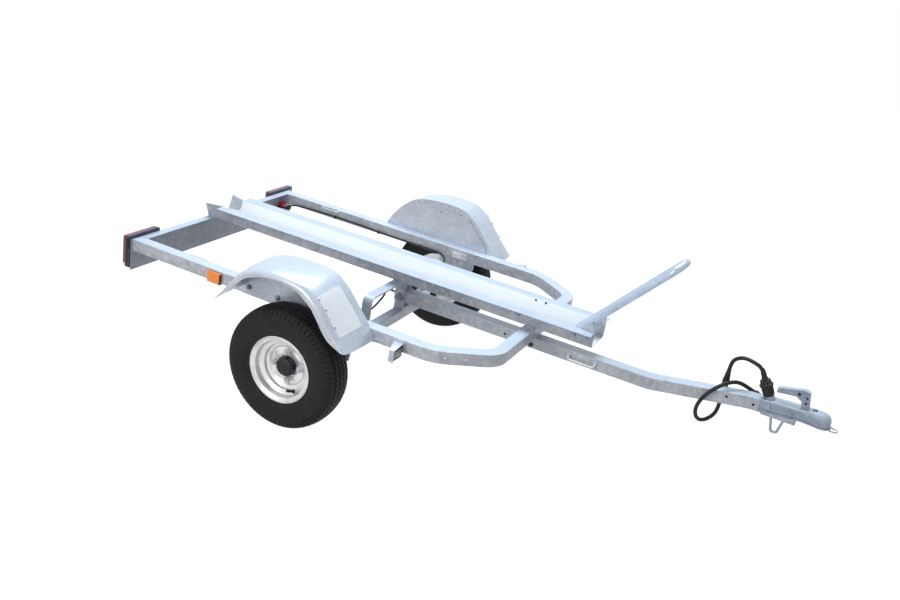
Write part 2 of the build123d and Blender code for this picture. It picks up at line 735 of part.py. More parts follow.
def lead_path(points):
    """Straight runs joined by arcs as large as each pair of runs allows."""
    vectors = [Vector(*p) for p in points]
    radii = []
    for a, b, c in zip(vectors, vectors[1:], vectors[2:]):
        run = min((b - a).length, (c - b).length)
        turn = radians((b - a).get_angle(c - b))
        radii.append(0.45 * run / tan(turn / 2))
    print("lead radii", [round(r) for r in radii])
    return FilletPolyline(*points, radius=radii)


LEAN = (-sin(radians(PLUG_LEAN)), cos(radians(PLUG_LEAN)))
CONNECTOR_X = COUPLING_REAR_X - CONNECTOR_BACK
CONNECTOR_Y = TUBE / 2 + CONNECTOR_R - 1
GLAND_TIP = Vector(COUPLING_REAR_X - GLAND_BACK, TUBE / 2 + GLAND_R - 1, 1)


def along_plug(distance):
    return PLUG_FOOT[0] + distance * LEAN[0], 0, PLUG_FOOT[1] + distance * LEAN[1]


def turned(outline, x, y, z, lean=0.0):
    """Turns a half section of (radius, height) about an upright axis, then leans it back."""
    return Pos(x, y, z) * Rot(0, -lean, 0) * revolve(Plane.XZ * make_face(outline), Axis.Z)


def plug_holder():
    """Parking socket on the drawbar that the plug stands in."""
    outline = Polyline(
        (0, 0), (HOLDER_R, 0), (HOLDER_R, HOLDER_END), (0, HOLDER_END), close=True
    )
    socket = turned(outline, *along_plug(0), PLUG_LEAN)
    return socket - coupling_body() - drawbar_block()


def plug():
    """Plug with a grip collar and a tapering tail."""
    outline = Polyline(
        (0, HOLDER_END), (PLUG_R - 2, HOLDER_END), (PLUG_R, 58), (PLUG_R + 4, 60),
        (PLUG_R + 4, 66), (PLUG_R, 68), (PLUG_R - 1, PLUG_END), (PLUG_NECK_R, PLUG_END + 2),
        (LEAD_R + 1.5, PLUG_NECK_END), (0, PLUG_NECK_END), close=True,
    )
    return turned(outline, *along_plug(0), PLUG_LEAN)


def along_gland(distance):
    a = radians(GLAND_LEAN)
    return tuple(GLAND_TIP + Vector(-sin(a), 0, cos(a)) * distance)


def lead_gland():
    """Cable gland slanting out of the drawbar's far wall."""
    middle = along_gland(-GLAND_LENGTH / 2)
    gland = Pos(*middle) * Rot(0, -GLAND_LEAN, 0) * Cylinder(GLAND_R, GLAND_LENGTH)
    return gland - drawbar_block()


def lead_connector():
    """Barrel joining the two leads, with a tapering tail at each end."""
    low, high = CONNECTOR_Z
    barrel_low, barrel_high = CONNECTOR_BARREL_Z
    tail = LEAD_R + 1.0
    outline = Polyline(
        (0, low), (tail, low), (CONNECTOR_R, barrel_low), (CONNECTOR_R, barrel_high),
        (tail, high), (0, high), close=True,
    )
    return turned(outline, CONNECTOR_X, CONNECTOR_Y, 0) - drawbar_block()


LOWER_LEAD = [
    tuple(GLAND_TIP), along_gland(35), (1326, 14, 24), (1300, -8, 20), (1276, -32, 6),
    (1254, -46, -18), (1236, -47, -52), (1228, -42, -88), (1234, -32, -120), (1250, -12, -138),
    (1272, 14, -132), (CONNECTOR_X, CONNECTOR_Y, -108), (CONNECTOR_X, CONNECTOR_Y, CONNECTOR_Z[0]),
]
UPPER_LEAD = [
    (CONNECTOR_X, CONNECTOR_Y, CONNECTOR_Z[1]), (CONNECTOR_X, CONNECTOR_Y, 68), (1297, 27, 92),
    (1324, 16, 110), (1354, 6, 110), along_plug(PLUG_NECK_END + 22), along_plug(PLUG_NECK_END),
]
RAIL_LEAD = [
    (REAR_X + PLATE_T, 402, -62), (-732, 402, -62), (-702, 414, -42), (-664, 421, -35),
    (-430, 421, -31), (-262, 421, -35), (-155, 421, -38), (20, 421, -36), (52, 414, -42),
    (74, 390, -54), (78, 330, -74), (78, 240, -87), (78, 180, -84), (78, 126, -68),
    (74, 88, -56), (60, 56, -54), (55, 33, -57), (64, 15, -63), (88, 10, -68),
]


def main():
    place("perimeter_frame", perimeter_frame())
    place("rear_plate", rear_plate())
    place("wheel_channel", wheel_channel())
    place("support_strap", support_strap())
    place("pivot_bracket", pivot_bracket())
    place("pivot_bolt", pivot_bolt())
    place("axle_beam", axle_beam())
    place("hoop", hoop())
    place("drawbar", drawbar())
    place("coupling", coupling())
    place("coupling_handle", coupling_handle())
    place("parking_foot", parking_foot())
    place("nose_ring", nose_ring())
    wheel = {"tyre": tyre(), "rim": rim(), "hub": hub(), "hub_cap": hub_cap()}
    for name, side in SIDES.items():
        place(f"axle_bracket_{name}", axle_bracket(side))
        place(f"swing_arm_{name}", swing_arm(side))
        place(f"hoop_plate_{name}", hoop_plate(side))
        place(f"fender_{name}", fender(side))
        place(f"lamp_base_{name}", lamp_base(side))
        place(f"lamp_lens_{name}", lamp_lens(side))
        place(f"side_reflector_{name}", side_reflector(side))
        place(f"marker_bracket_{name}", marker_bracket(side))
        place(f"front_marker_{name}", front_marker(side))
        for piece, shape in wheel.items():
            place(f"{piece}_{name}", for_side(shape, side))
    place("plug_holder", plug_holder())
    place("plug", plug())
    place("lead_gland", lead_gland())
    place("lead_connector", lead_connector())
    place("lead_lower", round_bar(lead_path(LOWER_LEAD), LEAD_R))
    place("lead_upper", round_bar(lead_path(UPPER_LEAD), LEAD_R))
    rail_lead = round_bar(lead_path(RAIL_LEAD), RAIL_LEAD_R)
    for name, side in SIDES.items():
        place(f"rail_lead_{name}", for_side(rail_lead, side))
    print("pitch", round(PITCH, 4), "middle", round(MIDDLE_X, 3))
    print("pivot", [round(v, 3) for v in world(BEAM_X, 0, PIVOT_Z)])
    print("ball", [round(v, 3) for v in world(BALL_X, 0, BALL_Z)])
    print("axle", [round(v, 3) for v in world(0, 0, AXLE_Z)])


main()
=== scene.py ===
"""Dresses the tilting motorcycle trailer: finishes on the CAD pieces, finer pieces and leads.

Pieces are drawn in the trailer's own millimetres, X forward from the axle, Y to the left and Z up
from the rails' tops, and finished() leans them with the trailer. The leads' routes are in metres.
"""

import json
from math import atan2, cos, hypot, pi, radians, sin

import bmesh
import bpy
from mathutils import Matrix, Vector


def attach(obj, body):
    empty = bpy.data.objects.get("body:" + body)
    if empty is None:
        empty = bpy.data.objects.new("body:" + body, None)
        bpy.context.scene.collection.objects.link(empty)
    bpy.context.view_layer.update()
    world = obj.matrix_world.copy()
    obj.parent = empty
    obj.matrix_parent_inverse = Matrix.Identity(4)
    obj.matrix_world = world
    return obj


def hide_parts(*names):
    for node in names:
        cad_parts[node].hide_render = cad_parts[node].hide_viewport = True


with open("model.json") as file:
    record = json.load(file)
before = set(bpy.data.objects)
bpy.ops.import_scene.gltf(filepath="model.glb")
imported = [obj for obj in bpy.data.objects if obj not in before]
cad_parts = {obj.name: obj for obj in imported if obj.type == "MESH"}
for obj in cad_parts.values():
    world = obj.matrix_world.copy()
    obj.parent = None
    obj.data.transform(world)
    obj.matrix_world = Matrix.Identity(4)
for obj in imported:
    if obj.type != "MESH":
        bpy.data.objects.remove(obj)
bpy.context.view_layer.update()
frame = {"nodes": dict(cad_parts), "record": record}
nodes = frame["nodes"]
SIDES = {"right": -1, "left": 1}
X, Y, Z = Vector((1, 0, 0)), Vector((0, 1, 0)), Vector((0, 0, 1))

# The trailer leans on its foot: its places are turned by PITCH about the axle, which is TYRE_R
# above the floor, AXLE_BELOW under the rails' tops and MIDDLE behind the origin
PITCH = radians(11.928027)
TYRE_R = 0.213
AXLE_BELOW = 0.193
MIDDLE = 0.453355
LEAN = (
    Matrix.Translation((-MIDDLE, 0, TYRE_R))
    @ Matrix.Rotation(PITCH, 4, "Y")
    @ Matrix.Translation((0, 0, AXLE_BELOW))
)

# Sizes shared with the solids, in millimetres
RAIL_OUT = 472.0
RAIL_IN = 427.0
WHEEL_Y = 557.0
AXLE_Z = -193.0
CHANNEL_OUT = 62.0
REAR_X = -760.0
LENS_X = -785.0
PIVOT_X = 106.0
PIVOT_Z = -70.5
CONNECTOR_X = 1288.0
CONNECTOR_Y = 32.5
TAPER_X = 473.0
TAPER = atan2(129.0, 178.0)

# The camera's place in metres, its turn in degrees, and its lens and sensor in millimetres
CAMERA_PLACE = (1.8638 - MIDDLE, -2.9834, 1.3702)
CAMERA_TURN = (72.492, 1.632, 26.837)
CAMERA_LENS = 39.13
SENSOR_WIDTH = 36


def leaned(points):
    """Trailer places, in metres, on the leaning trailer."""
    return [LEAN @ Vector(p) for p in points]


# Finishes

def finish(name, colour, roughness, metallic=0.0):
    """A new material, with its nodes and its shader."""
    made = bpy.data.materials.new(name)
    made.use_nodes = True
    tree = made.node_tree
    shader = tree.nodes["Principled BSDF"]
    shader.inputs["Base Color"].default_value = (*colour, 1)
    shader.inputs["Roughness"].default_value = roughness
    shader.inputs["Metallic"].default_value = metallic
    return made, tree, shader


def object_pattern(tree, kind, scale, detail=None, offset=(0, 0, 0)):
    """A texture node on object coordinates, in cycles per metre."""
    place = tree.nodes.new("ShaderNodeTexCoord")
    shift = tree.nodes.new("ShaderNodeMapping")
    shift.inputs["Location"].default_value = offset
    tree.links.new(place.outputs["Object"], shift.inputs["Vector"])
    texture = tree.nodes.new(kind)
    texture.inputs["Scale"].default_value = scale
    if detail is not None:
        texture.inputs["Detail"].default_value = detail
    tree.links.new(shift.outputs["Vector"], texture.inputs["Vector"])
    return texture


def ramp(tree, source, stops):
    """Maps a 0-1 output through (place, colour) stops."""
    node = tree.nodes.new("ShaderNodeValToRGB")
    elements = node.color_ramp.elements
    while len(elements) < len(stops):
        elements.new(0.5)
    for element, (place, colour) in zip(elements, stops):
        element.position = place
        element.color = (*colour, 1)
    tree.links.new(source, node.inputs["Fac"])
    return node.outputs["Color"]


def blend_colours(tree, factor, first, second):
    """Blends two colours, each of the three given as a value or as another node's output."""
    node = tree.nodes.new("ShaderNodeMix")
    node.data_type = "RGBA"
    sockets = (node.inputs[0], node.inputs[6], node.inputs[7])
    for socket, value in zip(sockets, (factor, first, second)):
        if isinstance(value, (int, float)):
            socket.default_value = value
        elif isinstance(value, tuple):
            socket.default_value = (*value, 1)
        else:
            tree.links.new(value, socket)
    return node.outputs[2]


def spread(tree, source, low, high):
    """Maps 0-1 to low-high."""
    node = tree.nodes.new("ShaderNodeMapRange")
    node.inputs["To Min"].default_value = low
    node.inputs["To Max"].default_value = high
    tree.links.new(source, node.inputs["Value"])
    return node.outputs["Result"]


def relief(tree, shader, source, depth, strength):
    """Roughens the surface by an output, to a depth in metres."""
    bump = tree.nodes.new("ShaderNodeBump")
    bump.inputs["Distance"].default_value = depth
    bump.inputs["Strength"].default_value = strength
    tree.links.new(source, bump.inputs["Height"])
    tree.links.new(bump.outputs["Normal"], shader.inputs["Normal"])


# Painted light: the near-white colour painted inside the channel
PAINTED_LIGHT_WHITE = (0.97, 0.98, 1.0)
# Painted sky light: upward faces are blended towards this paler, bluer colour, up to this share
PAINTED_SKY_ON_TOPS = (0.6, 0.69, 0.82)
PAINTED_SKY_SHARE = 0.7
CLOUD_SHARE = 0.45
SPECK_SHARE = 0.16
# How near the middle plane, in metres, the channel is painted with light
CHANNEL_INSIDE = 0.0606


def facing_up(tree):
    """How far a face looks up, 0 to PAINTED_SKY_SHARE: the weight of the painted sky light on
    upper faces.
    """
    surface = tree.nodes.new("ShaderNodeNewGeometry")
    parts = tree.nodes.new("ShaderNodeSeparateXYZ")
    tree.links.new(surface.outputs["Normal"], parts.inputs[0])
    return spread(tree, parts.outputs["Z"], 0, PAINTED_SKY_SHARE)


def near_middle(tree, reach):
    """1 nearer than reach to the trailer's middle plane, else 0."""
    place = tree.nodes.new("ShaderNodeTexCoord")
    parts = tree.nodes.new("ShaderNodeSeparateXYZ")
    tree.links.new(place.outputs["Object"], parts.inputs[0])
    off = tree.nodes.new("ShaderNodeMath")
    off.operation = "ABSOLUTE"
    tree.links.new(parts.outputs["Y"], off.inputs[0])
    within = tree.nodes.new("ShaderNodeMath")
    within.operation = "LESS_THAN"
    within.inputs[1].default_value = reach
    tree.links.new(off.outputs[0], within.inputs[0])
    return within.outputs[0]


def galvanised(name, light, dark, crystal=70, roughness=(0.34, 0.5), metallic=0.12,
               painted_light_within=None, painted_sky_tone=PAINTED_SKY_ON_TOPS):
    """Hot-dip zinc: crystals of slightly different greys under a cloudy film, with painted sky
    light that makes upward faces paler and bluer.

    Nearer than painted_light_within to the middle plane, in metres, the colour is painted nearly
    white: painted light.
    """
    made, tree, shader = finish(name, light, roughness[0], metallic)
    crystals = object_pattern(tree, "ShaderNodeTexVoronoi", crystal)
    cloud = object_pattern(tree, "ShaderNodeTexNoise", 13, 5, (3, 1, 2))
    specks = object_pattern(tree, "ShaderNodeTexNoise", 130, 6, (1, 4, 0))
    grain = ramp(tree, crystals.outputs["Color"], [(0.1, dark), (0.9, light)])
    cloudy = ramp(tree, cloud.outputs["Fac"], [(0.3, dark), (0.66, light)])
    speckled = ramp(tree, specks.outputs["Fac"], [(0.4, dark), (0.56, light)])
    colour = blend_colours(tree, CLOUD_SHARE, grain, cloudy)
    colour = blend_colours(tree, SPECK_SHARE, colour, speckled)
    # Painted sky light: upward faces are blended towards a paler, bluer colour
    colour = blend_colours(tree, facing_up(tree), colour, painted_sky_tone)
    # Painted light: near the middle plane the colour is painted nearly white
    if painted_light_within:
        colour = blend_colours(tree, near_middle(tree, painted_light_within), colour, PAINTED_LIGHT_WHITE)
    tree.links.new(colour, shader.inputs["Base Color"])
    tree.links.new(spread(tree, cloud.outputs["Fac"], *roughness), shader.inputs["Roughness"])
    fine = object_pattern(tree, "ShaderNodeTexNoise", 160, 4)
    relief(tree, shader, fine.outputs["Fac"], 0.0005, 0.3)
    return made


def wheel_silver():
    made, tree, shader = finish("wheel silver paint", (0.86, 0.85, 0.84), 0.3, 0.5)
    dust = object_pattern(tree, "ShaderNodeTexNoise", 26, 5)
    colour = ramp(tree, dust.outputs["Fac"],
                  [(0.32, (0.72, 0.7, 0.68)), (0.55, (0.88, 0.87, 0.86))])
    tree.links.new(colour, shader.inputs["Base Color"])
    peel = object_pattern(tree, "ShaderNodeTexNoise", 500, 2)
    relief(tree, shader, peel.outputs["Fac"], 0.0002, 0.3)
    return made


def tyre_rubber():
    made, tree, shader = finish("tyre rubber", (0.02, 0.019, 0.022), 0.6)
    dust = object_pattern(tree, "ShaderNodeTexNoise", 18, 6)
    scuff = object_pattern(tree, "ShaderNodeTexNoise", 70, 5, (2, 2, 2))
    colour = ramp(tree, dust.outputs["Fac"],
                  [(0.4, (0.012, 0.011, 0.013)), (0.68, (0.034, 0.03, 0.032))])
    worn = ramp(tree, scuff.outputs["Fac"],
                [(0.45, (0.016, 0.015, 0.017)), (0.7, (0.05, 0.042, 0.038))])
    tree.links.new(blend_colours(tree, 0.4, colour, worn), shader.inputs["Base Color"])
    tree.links.new(spread(tree, dust.outputs["Fac"], 0.48, 0.78), shader.inputs["Roughness"])
    shader.inputs["Specular IOR Level"].default_value = 0.2
    grain = object_pattern(tree, "ShaderNodeTexNoise", 900, 2)
    relief(tree, shader, grain.outputs["Fac"], 0.0003, 0.4)
    return made


def moulded(name, colour, roughness):
    """Moulded plastic or rubber with a fine grain."""
    made, tree, shader = finish(name, colour, roughness)
    shader.inputs["Specular IOR Level"].default_value = 0.3
    cloud = object_pattern(tree, "ShaderNodeTexNoise", 30, 3)
    pale = tuple(min(1, c * 1.5 + 0.006) for c in colour)
    tone = ramp(tree, cloud.outputs["Fac"], [(0.35, colour), (0.8, pale)])
    tree.links.new(tone, shader.inputs["Base Color"])
    fine = object_pattern(tree, "ShaderNodeTexNoise", 700, 2)
    relief(tree, shader, fine.outputs["Fac"], 0.0002, 0.3)
    return made


def lens(name, colour, shade=0.55, painted_glow=0.0):
    """Moulded lens with a fine prism pattern behind its face; its emission paints a glow on it,
    though it is no lamp.
    """
    made, tree, shader = finish(name, colour, 0.16)
    shader.inputs["Coat Weight"].default_value = 0.6
    shader.inputs["Coat Roughness"].default_value = 0.05
    prism = object_pattern(tree, "ShaderNodeTexVoronoi", 260)
    dark = tuple(c * shade for c in colour)
    tone = ramp(tree, prism.outputs["Distance"], [(0.1, colour), (0.7, dark)])
    tree.links.new(tone, shader.inputs["Base Color"])
    # Painted glow: the lens emits its own colour, though it is no lamp
    shader.inputs["Emission Color"].default_value = (*colour, 1)
    shader.inputs["Emission Strength"].default_value = painted_glow
    relief(tree, shader, prism.outputs["Distance"], 0.0006, 0.5)
    return made


def lamp_housing_painted_sheen():
    """Dark plastic with a painted violet sheen on its upper faces: a painted reflection of the
    sky.
    """
    made, tree, shader = finish("lamp housing with painted sheen", (0.02, 0.018, 0.026), 0.3)
    cloud = object_pattern(tree, "ShaderNodeTexNoise", 40, 3)
    dark = ramp(tree, cloud.outputs["Fac"],
                [(0.3, (0.016, 0.014, 0.02)), (0.8, (0.035, 0.03, 0.045))])
    # Painted reflection: upper faces are blended towards violet, as the sky's sheen
    colour = blend_colours(tree, facing_up(tree), dark, (0.1, 0.08, 0.26))
    tree.links.new(colour, shader.inputs["Base Color"])
    return made


FINISHES = {
    "galvanised_steel": galvanised("galvanised tube", (0.84, 0.86, 0.92), (0.46, 0.47, 0.52)),
    "sheet_steel": galvanised("galvanised sheet", (0.78, 0.82, 0.9), (0.5, 0.53, 0.6),
                              crystal=120, roughness=(0.24, 0.36), metallic=0.3),
    "zinc": galvanised("zinc plate", (0.4, 0.45, 0.54), (0.2, 0.23, 0.3),
                       crystal=200, roughness=(0.18, 0.3), metallic=0.4),
    "wheel_paint": wheel_silver(),
    "tyre": tyre_rubber(),
    "black_plastic": moulded("black plastic", (0.01, 0.01, 0.012), 0.36),
    "lead_rubber": moulded("lead rubber", (0.008, 0.008, 0.01), 0.46),
    "red_lens": lens("red lens", (0.36, 0.008, 0.018), painted_glow=0.04),
    "amber_lens": lens("amber lens", (1.0, 0.26, 0.012), shade=0.8, painted_glow=0.3),
    "clear_lens": lens("clear lens", (0.8, 0.74, 0.74)),
}
BARE_PLATE = galvanised("bare plate", (0.86, 0.86, 0.9), (0.26, 0.26, 0.3), crystal=260)
# A near-white copy of the galvanised sheet, paler still on top: painted light, standing in for
# strong light on the pieces that wear it
PAINTED_LIGHT_SHEET = galvanised("sheet painted as lit", (0.96, 0.97, 1.0), (0.84, 0.87, 0.92), crystal=160,
                          roughness=(0.22, 0.3), metallic=0.3, painted_sky_tone=(0.9, 0.93, 1.0))
RED_CLIP = moulded("red clip", (0.75, 0.015, 0.05), 0.4)
LAMP_HOUSING_PAINTED_SHEEN = lamp_housing_painted_sheen()

# CAD pieces whose finish differs from the rest of their slot
NODE_LOOKS = {
    # The channel is a darker copy of the galvanised tube, painted shade on its outer walls, and is
    # painted nearly white inside: painted light
    "wheel_channel": galvanised("channel with painted shade and light", (0.66, 0.68, 0.74), (0.32, 0.33, 0.38),
                                painted_light_within=CHANNEL_INSIDE),
    # The rear plate is a darker copy of the galvanised tube: painted shade
    "rear_plate": galvanised("rear plate", (0.56, 0.58, 0.64), (0.32, 0.34, 0.4)),
    # The hoop is a darker, bluer copy of the galvanised tube: painted shade and painted sky
    # reflection
    "hoop": galvanised("hoop tube with painted shade", (0.56, 0.66, 0.82), (0.36, 0.44, 0.58), crystal=90,
                       roughness=(0.16, 0.24), metallic=0.55),
    "lamp_base_right": LAMP_HOUSING_PAINTED_SHEEN,
    "lamp_base_left": LAMP_HOUSING_PAINTED_SHEEN,
}


def dress_nodes():
    """Gives each CAD piece its own finish or that of its slot."""
    for part in frame["record"]["subparts"]:
        solid = nodes[part["node"]]
        solid.data.materials.clear()
        solid.data.materials.append(
            NODE_LOOKS.get(part["node"], FINISHES[part["material_slot"]])
        )


# Shapes

def block(bm, low, high, edge=0.0, segments=2, turn=None):
    """A box between two corners with rounded edges, turned about its centre."""
    low, high = Vector(low), Vector(high)
    place = Matrix.Translation((low + high) / 2) @ (turn or Matrix())
    size = high - low
    stretch = Matrix.Diagonal((*size, 1))
    made = bmesh.ops.create_cube(bm, size=1, matrix=place @ stretch)["verts"]
    if edge:
        edges = list({e for v in made for e in v.link_edges})
        bmesh.ops.bevel(bm, geom=edges, offset=edge, segments=segments, profile=0.5,
                        affect="EDGES", material=-1)


def drum(bm, place, along, radius, length, sides, edge=0.0, top=None):
    """A round or many-sided bar standing on its base, its far rim rounded."""
    turn = along.to_track_quat("Z", "Y").to_matrix().to_4x4()
    centre = Matrix.Translation(Vector(place)) @ turn @ Matrix.Translation((0, 0, length / 2))
    made = bmesh.ops.create_cone(
        bm, cap_ends=True, segments=sides, radius1=radius,
        radius2=radius if top is None else top, depth=length, matrix=centre,
    )["verts"]
    if edge:
        far = [v for v in made if (v.co - Vector(place)).dot(along) > length * 0.9]
        rim = list({e for v in far for e in v.link_edges if e.other_vert(v) in far})
        bmesh.ops.bevel(bm, geom=rim, offset=edge, segments=2, profile=0.5, affect="EDGES",
                        material=-1)


def dome(bm, place, along, radius, height):
    """A rivet's round head, its middle on the surface."""
    turn = along.to_track_quat("Z", "Y").to_matrix().to_4x4()
    shape = Matrix.Translation(Vector(place)) @ turn @ Matrix.Diagonal((radius, radius, height, 1))
    bmesh.ops.create_uvsphere(bm, u_segments=14, v_segments=8, radius=1, matrix=shape)


def bolt(bm, place, along, size, stud=0.0):
    """Washer, chamfered six-sided head and, on a nut, the end of its stud."""
    place = Vector(place)
    drum(bm, place - along * 0.5, along, size * 1.25, 2.0, 20)
    drum(bm, place + along, along, size, size * 0.7, 6, size * 0.14)
    if stud:
        drum(bm, place + along, along, size * 0.5, size * 0.7 + stud, 16, size * 0.1)


def bead(bm, start, end, radius=2.6):
    """A weld bead: overlapping drops laid along a line."""
    start, end = Vector(start), Vector(end)
    count = max(2, int((end - start).length / (radius * 1.1)))
    for index in range(count + 1):
        place = start.lerp(end, index / count)
        swell = radius * (1 + 0.14 * sin(index * 2.3))
        bmesh.ops.create_icosphere(bm, subdivisions=1, radius=swell,
                                   matrix=Matrix.Translation(place))


def bead_along(bm, middle, half, radius=2.6):
    """A weld bead along X, half long to each side of its middle."""
    x, y, z = middle
    bead(bm, (x - half, y, z), (x + half, y, z), radius)


def slab(bm, outline, start, thick, edge):
    """A flat sheet whose outline is given in X and Z, standing from Y = start."""
    plate(bm, [(x, start, z) for x, z in outline], (0, thick, 0), edge)


def plate(bm, outline, thick, edge):
    """A flat sheet from its outline and its thickness as a step."""
    corners = [bm.verts.new(place) for place in outline]
    face = bm.faces.new(corners)
    grown = bmesh.ops.extrude_face_region(bm, geom=[face])["geom"]
    far = [v for v in grown if isinstance(v, bmesh.types.BMVert)]
    bmesh.ops.translate(bm, vec=thick, verts=far)
    if edge:
        edges = list({e for v in corners + far for e in v.link_edges})
        bmesh.ops.bevel(bm, geom=edges, offset=edge, segments=2, profile=0.5, affect="EDGES",
                        material=-1)


def profile(bm, outline, centre, along):
    """The corners of an outline of (distance along an axis, radius), on one side of the axis."""
    upright = Z if abs(along.z) < 0.9 else X
    across = (upright - along * upright.dot(along)).normalized()
    return [bm.verts.new(centre + along * a + across * r) for a, r in outline]


def spin_round(bm, corners, edges, centre, along, steps):
    bmesh.ops.spin(bm, geom=corners + edges, cent=centre, axis=along, angle=2 * pi, steps=steps,
                   use_merge=True, use_normal_flip=False, use_duplicate=False)


def turned_ring(bm, outline, centre, steps, along):
    """Turns a closed outline round an axis through a place."""
    centre = Vector(centre)
    corners = profile(bm, outline, centre, along)
    edges = [bm.edges.new(pair) for pair in zip(corners, corners[1:] + corners[:1])]
    spin_round(bm, corners, edges, centre, along, steps)


def turned_bar(bm, start, along, outline, sides):
    """Turns an open outline round an axis, and fills its end rings."""
    start = Vector(start)
    corners = profile(bm, outline, start, along)
    edges = [bm.edges.new(pair) for pair in zip(corners, corners[1:])]
    known = set(bm.edges)
    spin_round(bm, corners, edges, start, along, sides)
    new_edges = [e for e in bm.edges if e not in known or e in edges]
    open_edges = [e for e in new_edges if len(e.link_faces) == 1]
    bmesh.ops.holes_fill(bm, edges=open_edges, sides=0)


def ridge(bm, start, end, radius):
    """A rounded rib between two places, with tapered ends."""
    start, end = Vector(start), Vector(end)
    run = end - start
    outline = [(0, radius * 0.15), (radius, radius * 0.8), (radius * 2, radius),
               (run.length - radius * 2, radius), (run.length - radius, radius * 0.8),
               (run.length, radius * 0.15)]
    turned_bar(bm, start, run.normalized(), outline, 10)


def bent_rod(bm, places, radius):
    """A round rod through places, its bends rounded."""
    places = [Vector(place) for place in places]
    outline = [(0, radius * 0.7), (radius * 0.3, radius)]
    for start, end in zip(places, places[1:]):
        length = (end - start).length
        shape = outline + [(length - a, r) for a, r in reversed(outline)]
        turned_bar(bm, start, (end - start).normalized(), shape, 14)
    for place in places[1:-1]:
        bmesh.ops.create_icosphere(bm, subdivisions=2, radius=radius * 1.02,
                                   matrix=Matrix.Translation(place))


def finished(name, bm, slot, body, side=1, replaced=(), sharp=32, look=None):
    """Leans the mesh with the trailer and makes it a piece in its finish, riding on its body."""
    if side < 0:
        bmesh.ops.scale(bm, vec=(1, -1, 1), verts=bm.verts)
    bmesh.ops.recalc_face_normals(bm, faces=bm.faces)
    bmesh.ops.transform(bm, matrix=LEAN @ Matrix.Scale(0.001, 4), verts=bm.verts)
    mesh = bpy.data.meshes.new(name)
    bm.to_mesh(mesh)
    bm.free()
    mesh.shade_smooth()
    mesh.set_sharp_from_angle(angle=radians(sharp))
    made = bpy.data.objects.new(name, mesh)
    bpy.context.scene.collection.objects.link(made)
    mesh.materials.append(look or FINISHES[slot])
    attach(made, body)
    if replaced:
        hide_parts(*replaced)
    return made


# Wheels

TREAD_STEPS = 288
TREAD_PERIODS = 72
GROOVES = (-31.0, -10.5, 10.5, 31.0)
GROOVE_HALF = 2.6
GROOVE_DEPTH = 5.5
TREAD_HALF = 44.0
CROWN = 0.0036
ZIGZAG = 3.6
NOTCH_DEPTH = 4.2


def round_axle(place):
    """A place's distance from the axle's line, and its angle round it."""
    return hypot(place.x, place.z - AXLE_Z), atan2(place.z - AXLE_Z, place.x)


def scale_round_axle(vert, scale):
    vert.co.x *= scale
    vert.co.z = AXLE_Z + (vert.co.z - AXLE_Z) * scale


def tread_radius(across):
    return 212.6 - CROWN * across * across


def tyre_outline():
    """Half sections of both sidewalls joined by the grooved crown."""
    wall = [
        (36, 101.5), (41, 102.5), (45.5, 106), (46.5, 112), (49.6, 114), (49.4, 117), (49.8, 124),
        (53, 134), (54.2, 136), (54.6, 142), (54.9, 144), (56.2, 152), (57.2, 163), (57, 172),
        (56.6, 174), (57, 176), (56.2, 183), (54.6, 189), (52.8, 194), (50.4, 199), (47.6, 203),
    ]
    crown = [(TREAD_HALF, tread_radius(TREAD_HALF))]
    for groove in reversed(GROOVES):
        for step, deep in ((GROOVE_HALF, 0), (GROOVE_HALF * 0.7, GROOVE_DEPTH),
                           (-GROOVE_HALF * 0.7, GROOVE_DEPTH), (-GROOVE_HALF, 0)):
            crown.append((groove + step, tread_radius(groove + step) - deep))
    crown.append((-TREAD_HALF, tread_radius(TREAD_HALF)))
    inner = [(-34, 101.5), (-44, 150), (-40, 190), (0, 197), (40, 190), (44, 150), (34, 101.5)]
    return wall + crown + [(-a, r) for a, r in reversed(wall)] + inner


def tyre(name, side):
    """Block-shouldered tyre: zigzag grooves round the crown and notches across the shoulders."""
    bm = bmesh.new()
    turned_ring(bm, tyre_outline(), (0, WHEEL_Y, AXLE_Z), TREAD_STEPS, Y)
    for vert in bm.verts:
        across = vert.co.y - WHEEL_Y
        radius, angle = round_axle(vert.co)
        phase = round(angle / (2 * pi) * TREAD_STEPS) % (TREAD_STEPS // TREAD_PERIODS)
        if radius > 198 and abs(across) < TREAD_HALF - 1:
            vert.co.y += ZIGZAG * (0, 1, 0, -1)[phase]
        if phase == 2 and abs(across) > 44.5 and radius > 186.5:
            scale_round_axle(vert, (radius - NOTCH_DEPTH) / radius)
            vert.co.y -= NOTCH_DEPTH * 0.5 * (1 if across > 0 else -1)
    finished(f"treaded_tyre_{name}", bm, "tyre", f"wheel_{name}", side, [f"tyre_{name}"], 28)


DISC_STEPS = 96
STUDS = [radians(90 * index + 4) for index in range(4)]
STUD_REACH = 50.0
LOBES = (33.0, 68.0)
LOBE_SWELL = 6.5
RIDGES = (41.0, 60.0)
RIDGE_TURN = 0.2


